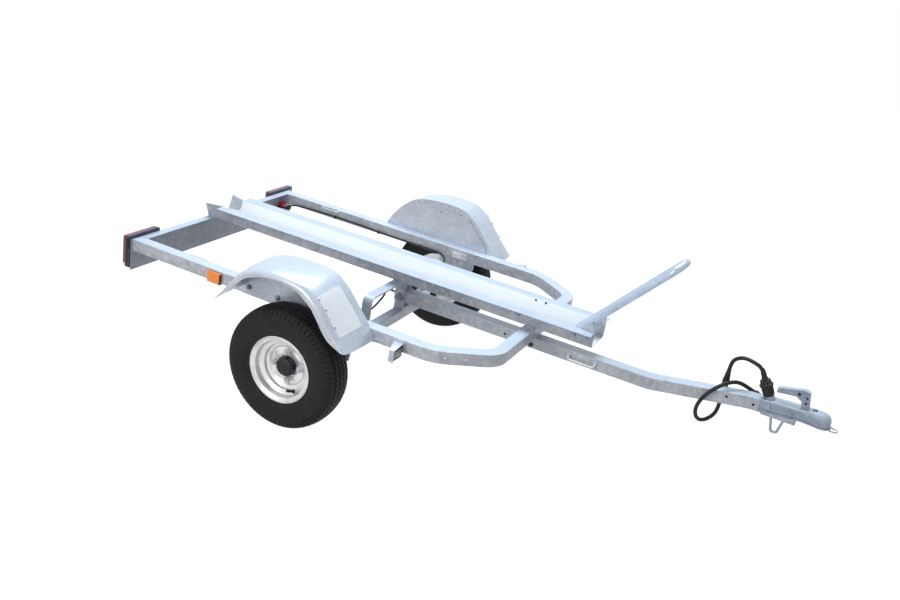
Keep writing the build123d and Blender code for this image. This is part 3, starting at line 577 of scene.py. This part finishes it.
def wheel_rim(name, side):
    """Rolled rim with stepped seats, a dropped well, and the pressed disc with its lobes."""
    bm = bmesh.new()
    outer = [
        (47, 116.2), (49.4, 116.6), (51, 114.8), (50.6, 112.6), (48.2, 111.4), (46.6, 108),
        (45.2, 101.8), (43, 99.4), (36, 98.6), (27, 98.2), (23, 96), (20.6, 90), (19.2, 83.5),
        (16, 80.6), (8, 79.6),
    ]
    disc = [
        (6.6, 77), (6.2, 73), (4.4, 70), (0.4, 67.2), (-2.6, 63.5), (-3.6, 58), (-3.8, 50),
        (-3.8, 42), (-3.6, 36), (-2.4, 32.5), (-4.2, 31), (-7, 31), (-7, 58), (-6, 66),
        (1, 73), (3, 78),
    ]
    back = [(-19, 79), (-27, 97), (-44, 97.8), (-46, 101), (-49, 111), (-51, 114.6),
            (-49.6, 116.6), (-47.2, 116.2), (-43, 101), (-24, 101), (-18, 82), (18, 82),
            (24, 101), (43, 101)]
    turned_ring(bm, outer + disc + back, (0, WHEEL_Y, AXLE_Z), DISC_STEPS, Y)
    low, high = LOBES
    for vert in bm.verts:
        radius, angle = round_axle(vert.co)
        if low < radius < high and -8 < vert.co.y - WHEEL_Y < 2:
            wave = (0.5 - 0.5 * cos(4 * (angle - STUDS[0]))) ** 2
            vert.co.y += LOBE_SWELL * wave * sin(pi * (radius - low) / (high - low))
    for turn in STUDS:
        for angle in (turn - RIDGE_TURN, turn + RIDGE_TURN):
            start, end = (
                (reach * cos(angle), WHEEL_Y - 3.2, AXLE_Z + reach * sin(angle))
                for reach in RIDGES
            )
            ridge(bm, start, end, 1.5)
    finished(f"pressed_rim_{name}", bm, "wheel_paint", f"wheel_{name}", side, [f"rim_{name}"], 40)


def wheel_nuts(name, side):
    """Cone seats, nuts and stud ends."""
    bm = bmesh.new()
    for turn in STUDS:
        place = Vector((STUD_REACH * cos(turn), WHEEL_Y - 4, AXLE_Z + STUD_REACH * sin(turn)))
        drum(bm, place - Y, Y, 14.5, 4, 24, 1.0, 12.4)
        drum(bm, place + Y, Y, 11.7, 12.4, 6, 1.5)
        drum(bm, place + Y, Y, 6.2, 17, 16, 1.0)
    finished(f"wheel_nuts_{name}", bm, "galvanised_steel", f"wheel_{name}", side)


CAP_RIBS = 16
CAP_RIB_SWELL = 0.035
CAP_RIB_SLANT = 0.02


def grease_cap(name, side):
    """Black cap with slanting ribs round its wall."""
    bm = bmesh.new()
    back = WHEEL_Y + 2
    outline = [(0, 0.01), (0, 34.6), (2.5, 35), (4, 33.4), (14, 32.4), (19, 30.6), (22, 26.5),
               (23.4, 21), (22, 17.5), (22.6, 15), (23.6, 13), (24, 0.01)]
    turned_bar(bm, (0, back, AXLE_Z), Y, outline, 96)
    for vert in bm.verts:
        radius, angle = round_axle(vert.co)
        depth = vert.co.y - back
        if radius > 20 and 3.5 < depth < 23.5:
            wave = cos(CAP_RIBS * (angle + depth * CAP_RIB_SLANT))
            scale_round_axle(vert, 1 + CAP_RIB_SWELL * wave)
    finished(f"grease_cap_{name}", bm, "black_plastic", f"wheel_{name}", side,
             [f"hub_cap_{name}"], 30)


VALVE_TURN = radians(-58)
VALVE_REACH = 87


def valve(name, side):
    """Valve stem and its cap, leaning out of the rim's well."""
    bm = bmesh.new()
    outward = Vector((cos(VALVE_TURN), 0, sin(VALVE_TURN)))
    base = Vector((0, WHEEL_Y + 19, AXLE_Z)) + outward * VALVE_REACH
    along = (Y * 0.9 - outward * 0.42).normalized()
    outline = [(0, 6), (2, 7), (5, 6), (8, 4.6), (20, 4), (22, 4), (22.5, 5.2), (31, 5), (33, 3.8)]
    turned_bar(bm, base, along, outline, 20)
    finished(f"valve_{name}", bm, "lead_rubber", f"wheel_{name}", side)


def arm_fittings(name, side):
    """Bolt through the arm's eye and the flange at the beam's end."""
    bm = bmesh.new()
    bolt(bm, (PIVOT_X, 485, -139), Y, 13)
    slab(bm, [(PIVOT_X + 19, -119), (PIVOT_X + 52, -121), (PIVOT_X + 60, -134),
              (PIVOT_X + 56, -159), (PIVOT_X + 19, -161)], 443, 7, 1.0)
    bead(bm, (PIVOT_X + 20, 443, -121), (PIVOT_X + 20, 443, -158), 2.2)
    finished(f"arm_fittings_{name}", bm, "galvanised_steel", "frame", side)


def bracket_bolts(name, side):
    """Bolts through the saddle plate, and its welds to rail and beam."""
    bm = bmesh.new()
    for x in (-3, 27):
        bolt(bm, (PIVOT_X + x, 436, -58), Y, 8.5, 4)
        bolt(bm, (PIVOT_X + x, 430, -58), -Y, 8.5)
    for y in (429.5, 436.5):
        bead_along(bm, (PIVOT_X - 46, y, -46.5), 24)
        bead_along(bm, (PIVOT_X + 54, y, -46.5), 18)
        for x in (PIVOT_X - 20.5, PIVOT_X + 20.5):
            bead(bm, (x, y, -156), (x, y, -126), 2.2)
    finished(f"bracket_bolts_{name}", bm, "galvanised_steel", "frame", side)


def wheels():
    for name, side in SIDES.items():
        tyre(name, side)
        wheel_rim(name, side)
        wheel_nuts(name, side)
        grease_cap(name, side)
        valve(name, side)
        arm_fittings(name, side)
        bracket_bolts(name, side)


# Fenders, lamps and markers

# The sheet's edge at the rail and the lip's lower edge at the outer side, rear to front, in pairs
FENDER_EDGES = [
    ((-262, -12), (-258, -14)), ((-238, 33), (-220, 14)), ((-204, 78), (-184, 53)),
    ((-158, 120), (-143, 93)), ((-118, 139), (-107, 110)), ((-72, 149), (-67, 122)),
    ((-26, 153), (-24, 127)), ((20, 154), (17, 125)), ((65, 151), (56, 116)),
    ((100, 141), (84, 99)), ((140, 113), (113, 78)), ((170, 82), (137, 50)),
    ((200, 49), (162, 16)), ((230, 14), (192, -13)), ((263, -34), (240, -34)),
]
FENDER_IN = 472.5
FENDER_OUT = 639.2
FENDER_T = 2.0
PANEL_BASE = [(262, -44), (-262, -44)]
PANEL_RIVETS = [(-117, 127), (-16, 113), (74, 126)]

# The section's superellipse power at the rear end, and from the fourth pair on
SECTION_REAR = 2.0
SECTION_POWER = 3.4

# The patch painted pale over the sheet as a painted highlight, start and end along and across, and
# its rivets
FACET = (9.7, 13.0, 0.05, 0.62)
FACET_RIVETS = ((9.9, 0.58), (10.8, 0.58), (12.2, 0.58))


def smooth_through(points, place):
    """The smooth curve through points, at a place counted in points."""
    last = len(points) - 1
    start = min(int(place), last - 1)
    share = place - start
    a, b, c, d = (Vector(points[min(max(start + k, 0), last)]) for k in (-1, 0, 1, 2))
    return 0.5 * (2 * b + (c - a) * share + (2 * a - 5 * b + 4 * c - d) * share ** 2
                  + (3 * b - a - 3 * c + d) * share ** 3)


def fender_place(along, across):
    """A place on the sheet: along counts the edge points, across runs 0-1 from rail to lip."""
    inner = smooth_through([pair[0] for pair in FENDER_EDGES], along)
    outer = smooth_through([pair[1] for pair in FENDER_EDGES], along)
    power = SECTION_REAR + (SECTION_POWER - SECTION_REAR) * min(1, along / 3)
    turn = across * pi / 2
    drop = 1 - cos(turn) ** (2 / power)
    low = inner.lerp(outer, drop)
    return low.x, FENDER_IN + (FENDER_OUT - FENDER_IN) * sin(turn) ** (2 / power), low.y


def fender_sheet(bm, start, end, inside, outside, rows, columns, thick):
    """Bends a flat grid to part of the sheet's surface and thickens it."""
    made = bmesh.ops.create_grid(bm, x_segments=rows, y_segments=columns, size=0.5)["verts"]
    for vert in made:
        along = start + (end - start) * (vert.co.x + 0.5)
        across = inside + (outside - inside) * (vert.co.y + 0.5)
        vert.co = fender_place(along, across)
    faces = list({f for v in made for f in v.link_faces})
    bmesh.ops.recalc_face_normals(bm, faces=faces)
    if sum(f.normal.z for f in faces) < 0:
        bmesh.ops.reverse_faces(bm, faces=faces)
    bmesh.ops.solidify(bm, geom=faces, thickness=thick)


def fender(name, side):
    """Smoothly bent sheet with its rolled outer edge, and the flat panel up from the rail."""
    last = len(FENDER_EDGES) - 1
    bm = bmesh.new()
    fender_sheet(bm, 0, last, 0, 1, 80, 18, FENDER_T)
    rim = [smooth_through([pair[0] for pair in FENDER_EDGES], last * k / 48) for k in range(49)]
    slab(bm, [tuple(p) for p in rim] + PANEL_BASE, RAIL_OUT, FENDER_T, 0)
    finished(f"bent_fender_{name}", bm, "sheet_steel", "frame", side, [f"fender_{name}"], 40)
    if side < 0:
        # The right fender's riveted patch wears the near-white sheet: a painted highlight
        bm = bmesh.new()
        fender_sheet(bm, *FACET, 14, 8, -0.9)
        finished("fender_painted_highlight", bm, "sheet_steel", "frame", side, look=PAINTED_LIGHT_SHEET)


def fender_fixings(name, side):
    """Rivets of panel and sheet, the panel's bolts to the rail and its pressed crease."""
    bm = bmesh.new()
    for x, z in PANEL_RIVETS:
        for y, out in ((RAIL_OUT, -1), (RAIL_OUT + 2, 1)):
            dome(bm, (x, y, z), Y * out, 5.2, 2.2)
    for along, across in FACET_RIVETS:
        dome(bm, fender_place(along, across), Vector((0.7, 0, 0.7)), 4.6, 2.6)
    for x in (-240, -120, 60, 200):
        bolt(bm, (x, RAIL_OUT + 2, -16), Y, 8.5, 3)
    ridge(bm, (196, RAIL_OUT + 0.4, 34), (112, RAIL_OUT + 0.4, 118), 1.6)
    ridge(bm, (214, RAIL_OUT + 0.4, -4), (196, RAIL_OUT + 0.4, 34), 1.6)
    finished(f"fender_fixings_{name}", bm, "zinc", "frame", side)


def lamp_details(name, side):
    """Ribs and screws on the lens, the clear strip under it and the housing's dark edge."""
    outer, inner = RAIL_OUT + 23, RAIL_OUT - 138
    span = outer - inner
    bm = bmesh.new()
    for share in (0.3, 0.68):
        y = inner + span * share
        block(bm, (LENS_X - 2.0, y - 2, -88), (LENS_X + 2, y + 2, 8), 1.2)
    for z in (-88, 8):
        block(bm, (LENS_X - 1.6, inner + 6, z - 2), (LENS_X + 2, outer - 6, z + 2), 1.2)
    for row in range(8):
        z = -78 + row * 11
        block(bm, (LENS_X - 0.9, inner + 8, z - 1.4), (LENS_X + 2, outer - 8, z + 1.4), 0.8)
    finished(f"lamp_ribs_{name}", bm, "red_lens", "frame", side)
    bm = bmesh.new()
    block(bm, (LENS_X + 2, inner + 7, -105), (LENS_X + 13.5, outer - 7, -94.5), 2.2)
    finished(f"plate_light_{name}", bm, "clear_lens", "frame", side)
    bm = bmesh.new()
    for share in (0.12, 0.88):
        y = inner + span * share
        drum(bm, (LENS_X + 1, y, -40), -X, 4.4, 3.4, 18, 1.0)
        block(bm, (LENS_X - 3.0, y - 3.4, -40.6), (LENS_X - 2.2, y + 3.4, -39.4))
    finished(f"lens_screws_{name}", bm, "zinc", "frame", side)
    bm = bmesh.new()
    block(bm, (REAR_X - 9, outer - 1.2, -90), (REAR_X - 1, outer + 0.6, 8), 0.8)
    finished(f"lamp_edge_{name}", bm, "black_plastic", "frame", side)


def reflector_details(name, side):
    """Black base and edge of the side reflector, and the ribs on its lens."""
    bm = bmesh.new()
    front = RAIL_OUT + 9
    block(bm, (-414.6, RAIL_OUT - 0.4, -47.6), (-355.4, RAIL_OUT + 4.2, -5.4), 1.8)
    block(bm, (-362.5, front - 3, -46.5), (-355.4, front + 0.7, -6.5), 1.5)
    finished(f"reflector_base_{name}", bm, "black_plastic", "frame", side)
    bm = bmesh.new()
    for column in range(4):
        x = -408 + column * 12
        block(bm, (x, front - 1.5, -43), (x + 9.6, front + 1.0, -10), 1.2)
    finished(f"reflector_ribs_{name}", bm, "amber_lens", "frame", side)


def marker_details(name, side):
    """Black frame and ribs of the forward marker's lens, and the plug in the rail behind it."""
    bm = bmesh.new()
    y0, y1 = RAIL_OUT + 3, RAIL_OUT + 57
    block(bm, (350.5, y0, -56), (357, y1, -20), 1.5)
    for z in (-56, -24.5):
        block(bm, (352, y0, z), (366.2, y1, z + 4.5), 1.4)
    for y in (y0, y1 - 4.5):
        block(bm, (352, y, -55), (366.2, y + 4.5, -21), 1.4)
    finished(f"marker_frame_{name}", bm, "black_plastic", "frame", side)
    bm = bmesh.new()
    for index in range(9):
        y = y0 + 6 + index * 5
        block(bm, (363, y, -50), (366.6, y + 3.4, -26), 1.0)
    finished(f"marker_ribs_{name}", bm, "clear_lens", "frame", side)
    bm = bmesh.new()
    turned_bar(bm, (268, RAIL_OUT - 0.5, -34), Y,
               [(0, 8.6), (2.5, 8.6), (3, 7), (7.5, 6.6), (8.4, 5.6)], 24)
    finished(f"rail_plug_{name}", bm, "galvanised_steel", "frame", side)


HOOD_T = 1.8


def marker_hood(name, side):
    """Folded sheet over the marker: tapered hood, tab on the rail, outer leg and back."""
    tip, back, face = 332, 350, 367.5
    rail, root, out = RAIL_OUT, RAIL_OUT + 2, RAIL_OUT + 60
    hood = [(tip, rail, -13), (face, rail, -13), (face, out, -18), (back, out, -18)]
    tab = [(tip, rail, -30), (face, rail, -30), (face, rail, -12), (tip, rail, -12)]
    leg = [(back, out, -58), (face, out, -60), (face, out, -17), (back, out, -17)]
    behind = [(back, root, -57), (back, out, -57), (back, out, -17), (back, root, -14)]
    bm = bmesh.new()
    for outline, inward in ((hood, Z), (tab, Y), (leg, -Y), (behind, X)):
        plate(bm, outline, inward * HOOD_T, 0.4)
    bead_along(bm, (349, RAIL_OUT + 1, -11.5), 15, 2.2)
    finished(f"marker_hood_{name}", bm, "sheet_steel", "frame", side, [f"marker_bracket_{name}"])


def sides():
    for name, side in SIDES.items():
        fender(name, side)
        fender_fixings(name, side)
        lamp_details(name, side)
        reflector_details(name, side)
        marker_details(name, side)
        marker_hood(name, side)


# Frame, channel and hoop

STRAP_WELD = 17


def channel_fixings():
    """Bolts through the channel's walls and floor, its welds, and two dark discs painted as the
    shade inside two holes.
    """
    bm = bmesh.new()
    for x, z in ((783, 28), (825, 32), (578, 34)):
        for out in (-1, 1):
            bolt(bm, (x, out * CHANNEL_OUT, z), Y * out, 8.5, 3 if out > 0 else 0)
    for x in (-700, -420, -60, 300, 610):
        bolt(bm, (x, 0, 2.4), Z, 9)
    finished("channel_bolts", bm, "zinc", "frame")
    bm = bmesh.new()
    for out in (-1, 1):
        bead_along(bm, (629, out * 64, 1), STRAP_WELD)
        bead(bm, (REAR_X + 2, out * 40, 3.5), (REAR_X + 2, out * 58, 3.5))
        bead_along(bm, (PIVOT_X, out * 64, 1), STRAP_WELD)
    finished("channel_welds", bm, "galvanised_steel", "frame")
    # Painted shade: dark discs in lead rubber stand in for the shaded insides of two holes
    bm = bmesh.new()
    for x, z in ((592, 51), (630, 52)):
        drum(bm, (x, CHANNEL_OUT - 3.2, z), -Y, 4.2, 0.9, 18)
    finished("channel_holes_painted_shade", bm, "lead_rubber", "frame")


def frame_welds():
    """Welds of the rear plate, the tie loops, the strap and the pivot bracket."""
    bm = bmesh.new()
    for side in (-1, 1):
        inner, outer = side * (RAIL_IN - 1), side * (RAIL_OUT + 1)
        rear = REAR_X + 4
        for y in (inner, outer):
            bead(bm, (rear, y, -43), (rear, y, -3))
        bead(bm, (rear, side * (RAIL_IN + 3), -46), (rear, side * (RAIL_OUT - 3), -46))
        for x in (-545, -465):
            for z in (-4, -12):
                bead_along(bm, (x, inner, z), 4, 2.0)
        for y in (268, 272):
            bead_along(bm, (PIVOT_X, side * y, -121), STRAP_WELD)
        for y in (24, 32):
            for z in (-119, -7):
                bead_along(bm, (PIVOT_X, side * y, z), STRAP_WELD, 2.2)
    finished("frame_welds", bm, "galvanised_steel", "frame")


NEAR_PLATE = (532, 78)
FAR_PLATE = (552, 52)


def small_plates():
    """Bare plates on the tapers and the left rail, and the near one's rivets."""
    bm = bmesh.new()
    slope = TAPER
    for side, (centre, length) in ((-1, NEAR_PLATE), (1, FAR_PLATE)):
        along = Vector((cos(slope), -side * sin(slope), 0))
        out = Vector((sin(slope), side * cos(slope), 0))
        face = RAIL_OUT if side < 0 else RAIL_IN + 7
        y = side * (face - (centre - TAPER_X) * sin(slope) / cos(slope))
        place = Vector((centre, y, -22))
        turn = Matrix.Rotation(atan2(along.y, along.x), 4, "Z")
        place += out * (-1.6 if side < 0 else -6.0)
        half = Vector((length / 2, 0.5, 12))
        block(bm, place - half, place + half, 0.35, 1, turn)
    finished("bare_plates", bm, "galvanised_steel", "frame", look=BARE_PLATE)
    bm = bmesh.new()
    # The plate on the left rail is painted near white as if strongly lit: painted light
    block(bm, (84, RAIL_IN - 1.2, -38), (149, RAIL_IN + 0.4, -12), 0.4)
    centre, length = NEAR_PLATE
    for share in (-0.44, 0.44):
        x = centre + length * share * cos(slope)
        y = -(RAIL_OUT - (x - TAPER_X) * sin(slope) / cos(slope)) + 0.4
        dome(bm, (x, y, -22), Vector((-sin(slope), -cos(slope), 0)), 5, 3)
    finished("rail_plate", bm, "galvanised_steel", "frame", look=PAINTED_LIGHT_SHEET)


def pivot_fittings():
    """Washers at the pivot's ears, a bolt in the right rail and the black rubber catch."""
    bm = bmesh.new()
    for out in (-1, 1):
        drum(bm, (PIVOT_X, out * 30.5, PIVOT_Z), Y * out, 17, 2.2, 28, 0.6)
    bolt(bm, (134, -RAIL_IN, -20), Y, 8)
    finished("pivot_washers", bm, "zinc", "frame")
    bm = bmesh.new()
    block(bm, (150, -34, -21), (170, -20, -7), 3)
    block(bm, (224, -32, -24), (248, -20, -14), 3)
    finished("rubber_catch", bm, "black_plastic", "frame")


def frame_pieces():
    channel_fixings()
    frame_welds()
    small_plates()
    pivot_fittings()


# Drawbar and coupling

def coupling_fixings():
    """Bolts through the coupling, and dark discs painted as the shade inside its handle's holes.
    """
    bm = bmesh.new()
    for x, z in ((1442, -9), (1507, -6)):
        for out in (-1, 1):
            bolt(bm, (x, out * 27, z), Y * out, 7.5, 3 if out > 0 else 0)
    for x, z, size in ((1559, 8, 5.5), (1585, 4, 5)):
        for out in (-1, 1):
            bolt(bm, (x, out * 27.5, z), Y * out, size)
    drum(bm, (1573, 0, 20), Z, 5, 9, 18, 1.2)
    finished("coupling_bolts", bm, "zinc", "drawbar")
    # Painted shade: dark discs in lead rubber stand in for the shaded insides of the handle's
    # holes
    bm = bmesh.new()
    drum(bm, (1514, -10.3, 62), -Y, 5.2, 0.8, 20)
    drum(bm, (1540, -10.3, 56), -Y, 3.6, 0.8, 18)
    drum(bm, (1541, -10.3, 38), -Y, 3.6, 0.8, 18)
    finished("handle_holes_painted_shade", bm, "lead_rubber", "drawbar")


STRAP_ROD_MIDDLE = 822.5


def strap_rod():
    """Rod over the drawbar's strap loop, painted near white as if strongly lit: painted light."""
    face, bar, high, low = -22, -34.4, PIVOT_Z + 12, PIVOT_Z - 7
    rear = [(774, face, high), (774, bar + 5, high - 9), (777, bar, low + 3), (783, bar, low)]
    front = [(2 * STRAP_ROD_MIDDLE - x, y, z) for x, y, z in reversed(rear)]
    bm = bmesh.new()
    bent_rod(bm, rear + front, 4.4)
    finished("strap_rod", bm, "galvanised_steel", "drawbar", look=PAINTED_LIGHT_SHEET)


def drawbar_fittings():
    """Welds of the loop, the foot and the coupling, and the latch pin."""
    bm = bmesh.new()
    for x in (774, 871):
        for z in (-63, -54):
            bead_along(bm, (x, -23, z), 4, 2.0)
    for x in (1455, 1493):
        for y in (-4.5, 4.5):
            bead_along(bm, (x, y, -42), 5, 2.0)
    for side in (-1, 1):
        bead_along(bm, (1475, side * 21, -37), 51, 2.0)
    finished("drawbar_welds", bm, "galvanised_steel", "drawbar")
    bm = bmesh.new()
    pin = [(0, 5), (1, 6.5), (6, 6.5), (8, 4.2), (15, 4.2), (17, 3)]
    turned_bar(bm, (630, -23, -72), -Z, pin, 20)
    block(bm, (620, -30, -82), (641, -22.5, -72), 2)
    finished("latch_pin", bm, "black_plastic", "drawbar")


def leaning_back(lean):
    return Vector((-sin(lean), 0, cos(lean)))


PLUG_LEAN = radians(29)
PLUG_RIBS = 14
GLAND_LEAN = radians(70)


def lead_fittings():
    """Ribs on the plug and the connector, the plug's sleeve and the gland's nut."""
    along = leaning_back(PLUG_LEAN)
    foot = Vector((1443, 0, -2))
    bm = bmesh.new()
    across = along.cross(Y)
    for index in range(PLUG_RIBS):
        turn = 2 * pi * index / PLUG_RIBS
        out = across * cos(turn) + Y * sin(turn)
        start = foot + along * 30 + out * 16.6
        end = foot + along * 56 + out * 18.0
        ridge(bm, start, end, 1.4)
    sleeve = [(0, 8.8), (4, 9), (8, 8.4), (11, 7.6), (20, 7)]
    turned_bar(bm, foot + along * 97, along, sleeve, 24)
    finished("plug_ribs", bm, "black_plastic", "drawbar")
    bm = bmesh.new()
    thick = [(0, 11), (0.8, 11.9), (3.2, 11.9), (4, 11)]
    thin = [(0, 11), (0.6, 11.5), (2.4, 11.5), (3, 11)]
    for rib, heights in ((thick, (-56, -48, 0, 8)), (thin, (-30, -22, -14))):
        for z in heights:
            turned_bar(bm, (CONNECTOR_X, CONNECTOR_Y, z), Z, rib, 28)
    finished("connector_ribs", bm, "lead_rubber", "drawbar")
    out = leaning_back(GLAND_LEAN)
    tip = Vector((1385, 30.5, 1))
    nut = [(0, 9), (0.5, 10.6), (8, 10.6), (9, 9), (11, 8), (16, 7)]
    bm = bmesh.new()
    turned_bar(bm, tip - out * 9, out, nut, 24)
    finished("gland_nut", bm, "black_plastic", "drawbar")


TIES = ((-480, 421, -31.6), (-262, 421, -35), (-60, 421, -37.4))


def cable_tie(bm, place):
    """A band from the rail's inner face round the lead, with its head below."""
    x, y, z = place
    turned_ring(bm, [(-2.2, 4.0), (2.2, 4.0), (2.2, 5.2), (-2.2, 5.2)], place, 20, X)
    block(bm, (x - 2.8, y + 2.5, z - 3), (x + 2.8, RAIL_IN + 1, z + 3), 0.8)
    block(bm, (x - 3.2, y - 3.2, z - 9), (x + 3.2, y + 3.2, z - 3.8), 1)


def rail_lead_fittings(name, side):
    """The rail lead's ties and its sleeve at the rear plate."""
    bm = bmesh.new()
    for place in TIES:
        cable_tie(bm, place)
    turned_bar(bm, (REAR_X + 2.5, 402, -62), X, [(0, 8), (3, 8), (4, 6.5), (14, 4.4)], 20)
    finished(f"cable_ties_{name}", bm, "black_plastic", "frame", side)


def rear_connector():
    """Moulded joint of the left lamp's lead, under its red clip."""
    bm = bmesh.new()
    turned_bar(bm, (-724, 404.4, -59.4), Vector((0.9, 0.35, 0.25)).normalized(),
               [(0, 4.5), (1, 8), (16, 8), (18, 6.4), (26, 5)], 20)
    finished("lamp_lead_joint", bm, "black_plastic", "frame")
    bm = bmesh.new()
    block(bm, (REAR_X + 3, 396, -57), (REAR_X + 25, 425, -42), 3.5, 3)
    finished("lamp_lead_clip", bm, "red_lens", "frame", look=RED_CLIP)


def drawbar_pieces():
    coupling_fixings()
    strap_rod()
    drawbar_fittings()
    lead_fittings()
    for name, side in SIDES.items():
        rail_lead_fittings(name, side)
    rear_connector()


# Leads, by the same route points as the solids

LOWER_LEAD = [
    (1.385, 0.0305, 0.001), (1.35211, 0.0305, 0.01297), (1.326, 0.014, 0.024),
    (1.3, -0.008, 0.02), (1.276, -0.032, 0.006), (1.254, -0.046, -0.018),
    (1.236, -0.047, -0.052), (1.228, -0.042, -0.088), (1.234, -0.032, -0.12),
    (1.25, -0.012, -0.138), (1.272, 0.014, -0.132), (1.288, 0.0325, -0.108),
    (1.288, 0.0325, -0.08),
]
UPPER_LEAD = [
    (1.288, 0.0325, 0.046), (1.288, 0.0325, 0.068), (1.297, 0.027, 0.092),
    (1.324, 0.016, 0.11), (1.354, 0.006, 0.11), (1.38482, 0, 0.10295), (1.39549, 0, 0.08371),
]
RAIL_LEAD = [
    (-0.757, 0.402, -0.062), (-0.732, 0.402, -0.062), (-0.702, 0.414, -0.042),
    (-0.664, 0.421, -0.035), (-0.43, 0.421, -0.031), (-0.262, 0.421, -0.035),
    (-0.155, 0.421, -0.038), (0.02, 0.421, -0.036), (0.052, 0.414, -0.042),
    (0.074, 0.39, -0.054), (0.078, 0.33, -0.074), (0.078, 0.24, -0.087),
    (0.078, 0.18, -0.084), (0.078, 0.126, -0.068), (0.074, 0.088, -0.056),
    (0.06, 0.056, -0.054), (0.055, 0.033, -0.057), (0.064, 0.015, -0.063),
    (0.088, 0.01, -0.068),
]
LEAD_R = 0.0066
RAIL_LEAD_R = 0.0035


def lead(name, route, radius, body, replaced):
    """One free lead along its route, as a smooth curve."""
    curve = bpy.data.curves.new(name, "CURVE")
    curve.dimensions = "3D"
    curve.bevel_depth = radius
    curve.bevel_resolution = 4
    curve.resolution_u = 10
    line = curve.splines.new("NURBS")
    points = leaned(route)
    line.points.add(len(points) - 1)
    for control, place in zip(line.points, points):
        control.co = (*place, 1)
    line.order_u = 3
    line.use_endpoint_u = True
    made = bpy.data.objects.new(name, curve)
    bpy.context.scene.collection.objects.link(made)
    curve.materials.append(FINISHES["lead_rubber"])
    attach(made, body)
    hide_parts(replaced)


def leads():
    lead("lead_from_drawbar", LOWER_LEAD, LEAD_R, "drawbar", "lead_lower")
    lead("lead_to_plug", UPPER_LEAD, LEAD_R, "drawbar", "lead_upper")
    for name, side in SIDES.items():
        route = [(x, side * y, z) for x, y, z in RAIL_LEAD]
        lead(f"lamp_lead_{name}", route, RAIL_LEAD_R, "frame", f"rail_lead_{name}")


# Stage

FLOOR_SIZE = 14
FLOOR_GLOW = 0.95
FLOOR_GREY = 0.25
SKY_LIGHT = 0.25
OVERHEAD_BLUE = (0.74, 0.88, 1.0)


def seen_directly(tree):
    """1 for the camera and for what metal and glass reflect or let through, else 0."""
    path = tree.nodes.new("ShaderNodeLightPath")
    total = path.outputs["Is Camera Ray"]
    for kind in ("Is Glossy Ray", "Is Transmission Ray"):
        add = tree.nodes.new("ShaderNodeMath")
        add.operation = "MAXIMUM"
        tree.links.new(total, add.inputs[0])
        tree.links.new(path.outputs[kind], add.inputs[1])
        total = add.outputs[0]
    return total


def floor():
    """White floor that keeps the trailer's shadow."""
    bm = bmesh.new()
    bmesh.ops.create_grid(bm, x_segments=1, y_segments=1, size=FLOOR_SIZE)
    mesh = bpy.data.meshes.new("floor")
    bm.to_mesh(mesh)
    bm.free()
    made = bpy.data.objects.new("floor", mesh)
    bpy.context.scene.collection.objects.link(made)
    paint, tree, shader = finish("pale floor", (FLOOR_GREY,) * 3, 0.9)
    shader.inputs["Specular IOR Level"].default_value = 0
    shader.inputs["Emission Color"].default_value = (1, 1, 1, 1)
    tree.links.new(spread(tree, seen_directly(tree), 0, FLOOR_GLOW),
                   shader.inputs["Emission Strength"])
    mesh.materials.append(paint)


def soft_lamp(name, place, target, size, power, colour=(1, 1, 1)):
    """A square lamp aimed at a target, with its size in metres and its power in watts."""
    light = bpy.data.lights.new(name, "AREA")
    light.color = colour
    light.shape = "SQUARE"
    light.size = size
    light.energy = power
    lamp = bpy.data.objects.new(name, light)
    bpy.context.scene.collection.objects.link(lamp)
    lamp.location = place
    lamp.rotation_euler = (Vector(target) - Vector(place)).to_track_quat("-Z", "Y").to_euler()


def studio():
    """White surroundings that light the trailer dimly, and its two lamps."""
    world = bpy.data.worlds.new("studio")
    bpy.context.scene.world = world
    world.use_nodes = True
    tree = world.node_tree
    sky = tree.nodes["Background"]
    sky.inputs["Color"].default_value = (1, 1, 1, 1)
    tree.links.new(spread(tree, seen_directly(tree), SKY_LIGHT, 1.0), sky.inputs["Strength"])
    soft_lamp("overhead", (-0.2, 0.9, 4.2), target=(0.1, 0, 0.3), size=3.0, power=190,
              colour=OVERHEAD_BLUE)
    soft_lamp("side", (-0.9, -3.9, 1.9), target=(-0.1, 0, 0.3), size=2.0, power=50)


def camera():
    view = bpy.data.cameras.new("camera")
    view.lens = CAMERA_LENS
    view.sensor_width = SENSOR_WIDTH
    made = bpy.data.objects.new("camera", view)
    bpy.context.scene.collection.objects.link(made)
    made.location = CAMERA_PLACE
    made.rotation_euler = [radians(a) for a in CAMERA_TURN]
    bpy.context.scene.camera = made
    bpy.context.scene.view_settings.view_transform = "Standard"


camera()
studio()
floor()
dress_nodes()
leads()
wheels()
sides()
frame_pieces()
drawbar_pieces()
